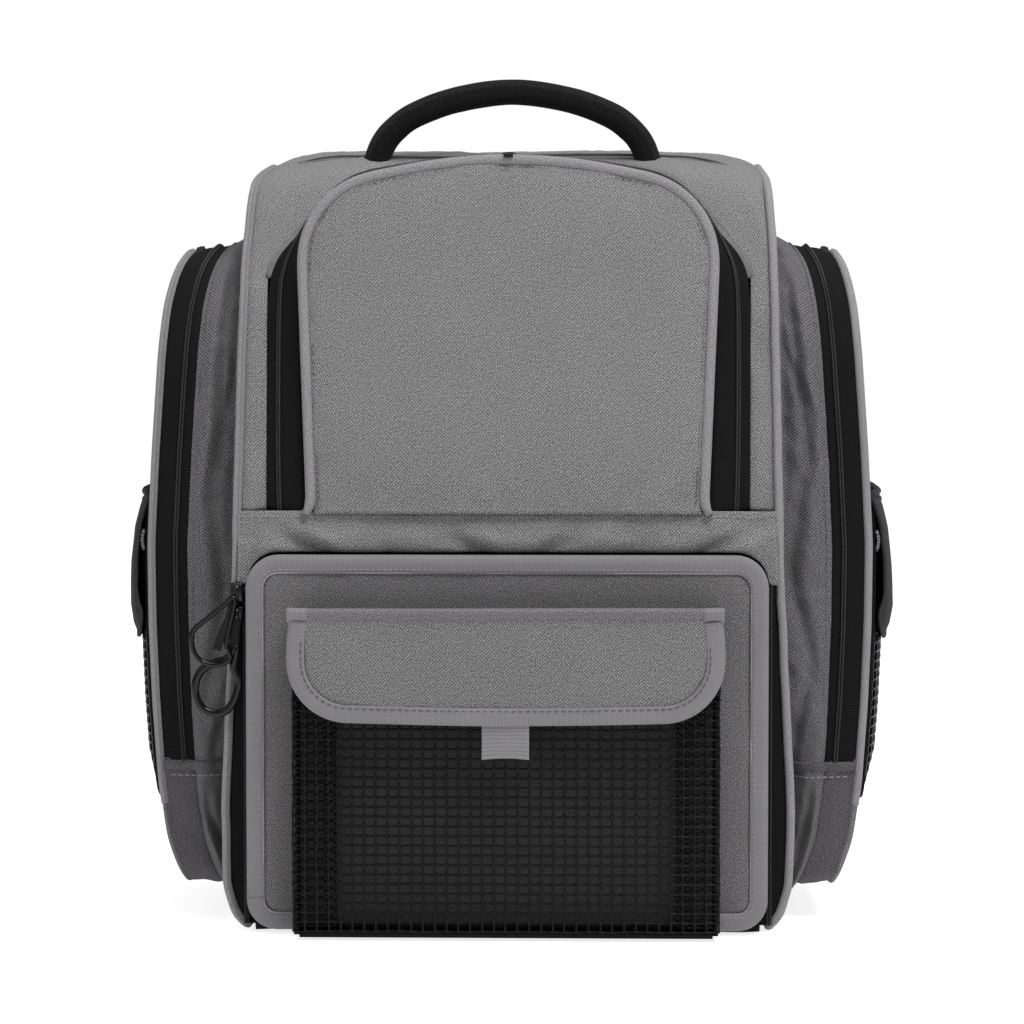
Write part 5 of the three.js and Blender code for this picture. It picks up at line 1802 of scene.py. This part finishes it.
def buckle(name, outline, window, place, y, thick, body):
    """A flat moulded frame with one window and softened edges."""
    outline = spaced(outline, 2.0, closed=True)
    window = resample(window, len(outline), closed=True)
    start = np.argmin(np.linalg.norm(window - outline[0], axis=1))
    window = np.roll(window, -start, axis=0)
    rings = [(outline, -0.5), (outline, 0.5), (window, 0.5), (window, -0.5)]
    points = np.vstack([place(line[:, 0], y + share * thick, line[:, 1]) for line, share in rings])
    faces = grid_faces(4, len(outline), True, True)
    obj = make(name, points, faces, LOOK["plastic"], body, slot="black_plastic")
    soften = obj.modifiers.new("edge", "BEVEL")
    soften.width, soften.segments, soften.angle_limit = 0.8 * MM, 2, 0.6
    return obj


def build_harness():
    for word, side in SIDES:
        low, high = cad_box(f"back_pad_{word}")
        a, b = sorted([abs(low[0]), abs(high[0])])
        corners = [(side * (a + 0.5), low[2], 18), (side * (b - 8), low[2], 18),
                   (side * b, high[2], 24), (side * (a + 0.5), high[2], 18)]
        channels = [(2, z, 2.6, 4.0) for z in (165, 235, 305)]
        pad(f"pad_{word}_air", corners, LOOK["air_mesh"], "pack", low[1], high[1] - 2, channels=channels)
        shoulder_strap(word, side)
        low, high = cad_box(f"strap_anchor_{word}")
        a, b = sorted([abs(low[0]), abs(high[0])])
        outline = spaced(rounded([(side * a, low[2], 4), (side * b, low[2], 4), (side * b, high[2], 10),
                                  (side * a, high[2], 10)]), 2, closed=True)

        def sewn(flat, out, low=low):
            return np.stack([flat[:, 0], low[1] + 2.2 + out, flat[:, 1]], axis=1)

        disc(f"anchor_{word}", outline, sewn, lambda p, d: crown(d, 1.2, 3), LOOK["webbing"], "pack",
             BACK, rings=8, thickness=2.2, slot="black_webbing")
        ring = spaced(moved_in(outline, 2.4), 1.5, closed=True)
        stitches(f"anchor_{word}_stitching", sewn(ring, 1.2 + 0 * ring[:, 0]), BACK,
                 LOOK["dark_thread"], "pack", closed=True)
    low, high = cad_box("lumbar_pad")
    corners = [(low[0], low[2], 16), (high[0], low[2], 16), (high[0], high[2], 16), (low[0], high[2], 16)]
    pad("lumbar_air", corners, LOOK["air_mesh"], "pack", low[1], high[1] - 2, channels=[(0, 0, 3, 4.0)])
    low, high = cad_box("strap_yoke")
    corners = [(low[0], low[2], 6), (high[0], low[2], 6), (high[0] - 6, high[2], 8), (low[0] + 6, high[2], 8)]
    pad("yoke_cloth", corners, LOOK["dark"], "pack", low[1], high[1] + 2.5)


# ---- Inside ----


def build_inside():
    low, high = cad_box("divider_shelf")
    x, y = np.meshgrid(np.linspace(low[0], high[0], 40), np.linspace(low[1], high[1], 26))
    at = np.stack([x, y, 0 * x], axis=-1).reshape(-1, 3)
    z = high[2] - 0.6 + lumps(at, 40, 90).reshape(x.shape) * 0.8 - 1.5 * np.cos(x / high[0] * 1.5)
    grid("divider_cloth", np.stack([x, y, z], axis=-1), LOOK["lining"], "pack", UP, thickness=3.5,
         slot="dark_cloth")
    for level in range(1, 5):
        tray(level)


def tray(level):
    """A clear lidded tackle tray with dividers and two latches."""
    low, high = cad_box(f"tackle_tray_{level}")
    name = f"tray_{level}"
    rim = rounded([(low[0], low[1], 8), (high[0], low[1], 8), (high[0], high[1], 8), (low[0], high[1], 8)],
                  steps=5)
    rings = [(moved_in(rim, 3.0), low[2] + 0.3), (moved_in(rim, 1.6), high[2] - 9),
             (rim, high[2] - 8.4), (rim, high[2] - 4.4), (moved_in(rim, 1.2), high[2] - 3.6),
             (moved_in(rim, 3.2), high[2] - 0.6)]
    count = len(rim)
    points = np.vstack([np.c_[line, np.full(count, z)] for line, z in rings])
    faces = grid_faces(len(rings), count, False, True)
    faces += [list(range(count)), [k + (len(rings) - 1) * count for k in range(count)]]
    obj = make(f"{name}_case", points, faces, LOOK["clear"], "pack", slot="tray_plastic")
    obj.data.polygons.foreach_set("use_smooth", [False] * len(obj.data.polygons))
    walls = []
    for k in range(1, 6):
        x = low[0] + (high[0] - low[0]) * k / 6
        walls.append(((x, low[1] + 5), (x, high[1] - 5)))
    walls.append(((low[0] + 5, (low[1] + high[1]) / 2), (high[0] - 5, (low[1] + high[1]) / 2)))
    parts = []
    for a, b in walls:
        line = resample(np.array([(*a, (low[2] + high[2]) / 2 - 3), (*b, (low[2] + high[2]) / 2 - 3)]), 3)
        tall = (high[2] - low[2]) / 2 - 7
        parts.append(sweep_mesh(line, np.array([(-0.5, -tall), (-0.5, tall), (0.5, tall), (0.5, -tall)]), UP))
    points, faces, uv = joined(parts)
    make(f"{name}_dividers", points, faces, LOOK["clear"], "pack", uv=uv, slot="tray_plastic")
    parts = []
    for x in (-80, 80):
        ends = [(x + reach, low[1] - 0.2, high[2] - 8) for reach in (-15, 15)]
        line = resample(np.array(ends), 5)
        shape = rounded([(-5, -0.6, 0.5), (5, -0.6, 0.5), (5, 1.4, 0.9), (-5, 1.4, 0.9)], steps=2)
        parts.append(sweep_mesh(line, shape, FRONT))
    points, faces, uv = joined(parts)
    make(f"{name}_latches", points, faces, LOOK["plastic"], "pack", uv=uv, slot="black_plastic")


# ---- Studio ----


def seen_strength(tree, elsewhere, on_camera, socket):
    """A strength that is one value for the camera and another for all other light."""
    seen = tree.nodes.new("ShaderNodeLightPath")
    strength = tree.nodes.new("ShaderNodeMapRange")
    strength.inputs["To Min"].default_value = elsewhere
    strength.inputs["To Max"].default_value = on_camera
    tree.links.new(seen.outputs["Is Camera Ray"], strength.inputs["Value"])
    tree.links.new(strength.outputs[0], socket)


def studio():
    """Pale paper floor, pale surroundings and three soft lights. Lengths here are metres."""
    reach = 9.0
    floor = bpy.data.meshes.new("floor")
    floor.from_pydata([(-reach, -reach, 0), (reach, -reach, 0), (reach, reach, 0), (-reach, reach, 0)],
                      [], [(0, 1, 2, 3)])
    floor_look = bpy.data.materials.new("floor_paper")
    floor_look.use_nodes = True
    paper = floor_look.node_tree.nodes["Principled BSDF"]
    paper.inputs["Base Color"].default_value = (0.9, 0.9, 0.9, 1)
    paper.inputs["Roughness"].default_value = 0.9
    paper.inputs["Emission Color"].default_value = (1, 1, 1, 1)
    seen_strength(floor_look.node_tree, 0.38, 0.78, paper.inputs["Emission Strength"])
    floor.materials.append(floor_look)
    floor_obj = bpy.data.objects.new("floor", floor)
    bpy.context.scene.collection.objects.link(floor_obj)
    world = bpy.data.worlds.new("studio")
    bpy.context.scene.world = world
    world.use_nodes = True
    sky = world.node_tree.nodes["Background"]
    sky.inputs[0].default_value = (1, 1, 1, 1)
    seen_strength(world.node_tree, 0.30, 1.0, sky.inputs[1])
    for name, place, size, power in (
        ("key", (0.8, -1.25, 2.35), 0.9, 42),
        ("fill", (-1.5, -1.7, 1.3), 1.2, 4),
        ("top", (0.1, -0.1, 2.3), 1.2, 22),
    ):
        light = bpy.data.lights.new(name, "AREA")
        light.size, light.energy = size, power
        lamp = bpy.data.objects.new(name, light)
        bpy.context.scene.collection.objects.link(lamp)
        lamp.location = place
        aim = Vector((0, 0, 0.22)) - Vector(place)
        lamp.rotation_euler = aim.to_track_quat("-Z", "Y").to_euler()
    bpy.context.scene.view_settings.view_transform = "Standard"


def camera():
    """Long lens, far off, a little above the middle and a touch to the right."""
    away, up, round_by = 2.2, math.radians(3.5), math.radians(1.5)
    target = Vector((0, 0, 0.2295))
    back = Vector((math.sin(round_by) * math.cos(up), -math.cos(round_by) * math.cos(up), math.sin(up)))
    lens = bpy.data.cameras.new("camera")
    lens.lens, lens.sensor_width = 132.7, 36
    shot = bpy.data.objects.new("camera", lens)
    bpy.context.scene.collection.objects.link(shot)
    shot.location = target + back * away
    shot.rotation_euler = (-back).to_track_quat("-Z", "Y").to_euler()
    bpy.context.scene.camera = shot


STANDS_FOR = {
    "front_ring": ["top_gusset"], "base_cloth": ["base_panel"], "back_cloth": ["back_panel"],
    "collar_tape": ["upper_zip_collar"], "body_zip_tape": ["lower_zip_tape"],
    "divider_cloth": ["divider_shelf"], "lumbar_air": ["lumbar_pad"], "yoke_cloth": ["strap_yoke"],
    "lid_cloth": ["lid_panel"], "lid_piping_cord": ["lid_piping"], "lid_tape": ["lid_gusset"],
    "slider_lid": ["lid_slider"], "door_cloth": ["lower_door_panel"],
    "door_binding_tape": ["lower_door_binding"], "door_zip_tape": ["lower_door_zip"],
    "front_net": ["front_mesh_pocket"], "flap_cloth": ["flap_panel"],
    "flap_binding_tape": ["flap_binding"], "flap_tab_webbing": ["flap_tab"],
    "slider_upper": ["door_slider_upper"], "slider_lower": ["door_slider_lower"],
    "loop_upper_cord": ["pull_loop_upper"], "loop_lower_ring": ["pull_loop_lower"],
    "handle_tube": ["handle_grip"],
}
for word, side in SIDES:
    STANDS_FOR.update({
        f"side_panel_{word}_cloth": [f"side_panel_{word}"],
        f"body_piping_{word}_cord": [f"body_piping_{word}"],
        f"pocket_gusset_{word}": [f"side_pocket_{word}"], f"patch_{word}_cloth": [f"handle_patch_{word}"],
        f"pad_{word}_air": [f"back_pad_{word}"], f"anchor_{word}": [f"strap_anchor_{word}"],
        f"side_cloth_{word}": [f"side_door_panel_{word}"],
        f"side_piping_{word}": [f"side_door_piping_{word}"],
        f"side_tape_moving_{word}": [f"side_door_zip_{word}"],
        f"side_net_{word}": [f"side_mesh_pocket_{word}"], f"flap_side_{word}": [f"side_flap_{word}"],
        f"slider_side_{word}": [f"side_slider_{word}"], f"strap_pad_{word}": [f"shoulder_strap_{word}"],
        f"ladder_lock_{word}_body": [f"ladder_lock_{word}"], f"webbing_{word}": [f"strap_webbing_{word}"],
    })
for level in range(1, 5):
    STANDS_FOR[f"tray_{level}_case"] = [f"tackle_tray_{level}"]

build_body()
build_lid()
build_door()
build_sides()
build_hardware()
build_harness()
build_inside()
for piece, nodes in STANDS_FOR.items():
    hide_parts(*nodes)
for node in ("base_board", "back_board"):
    board = frame["nodes"][node]
    for slot in board.material_slots:
        slot.material = LOOK["board"]
studio()
camera()
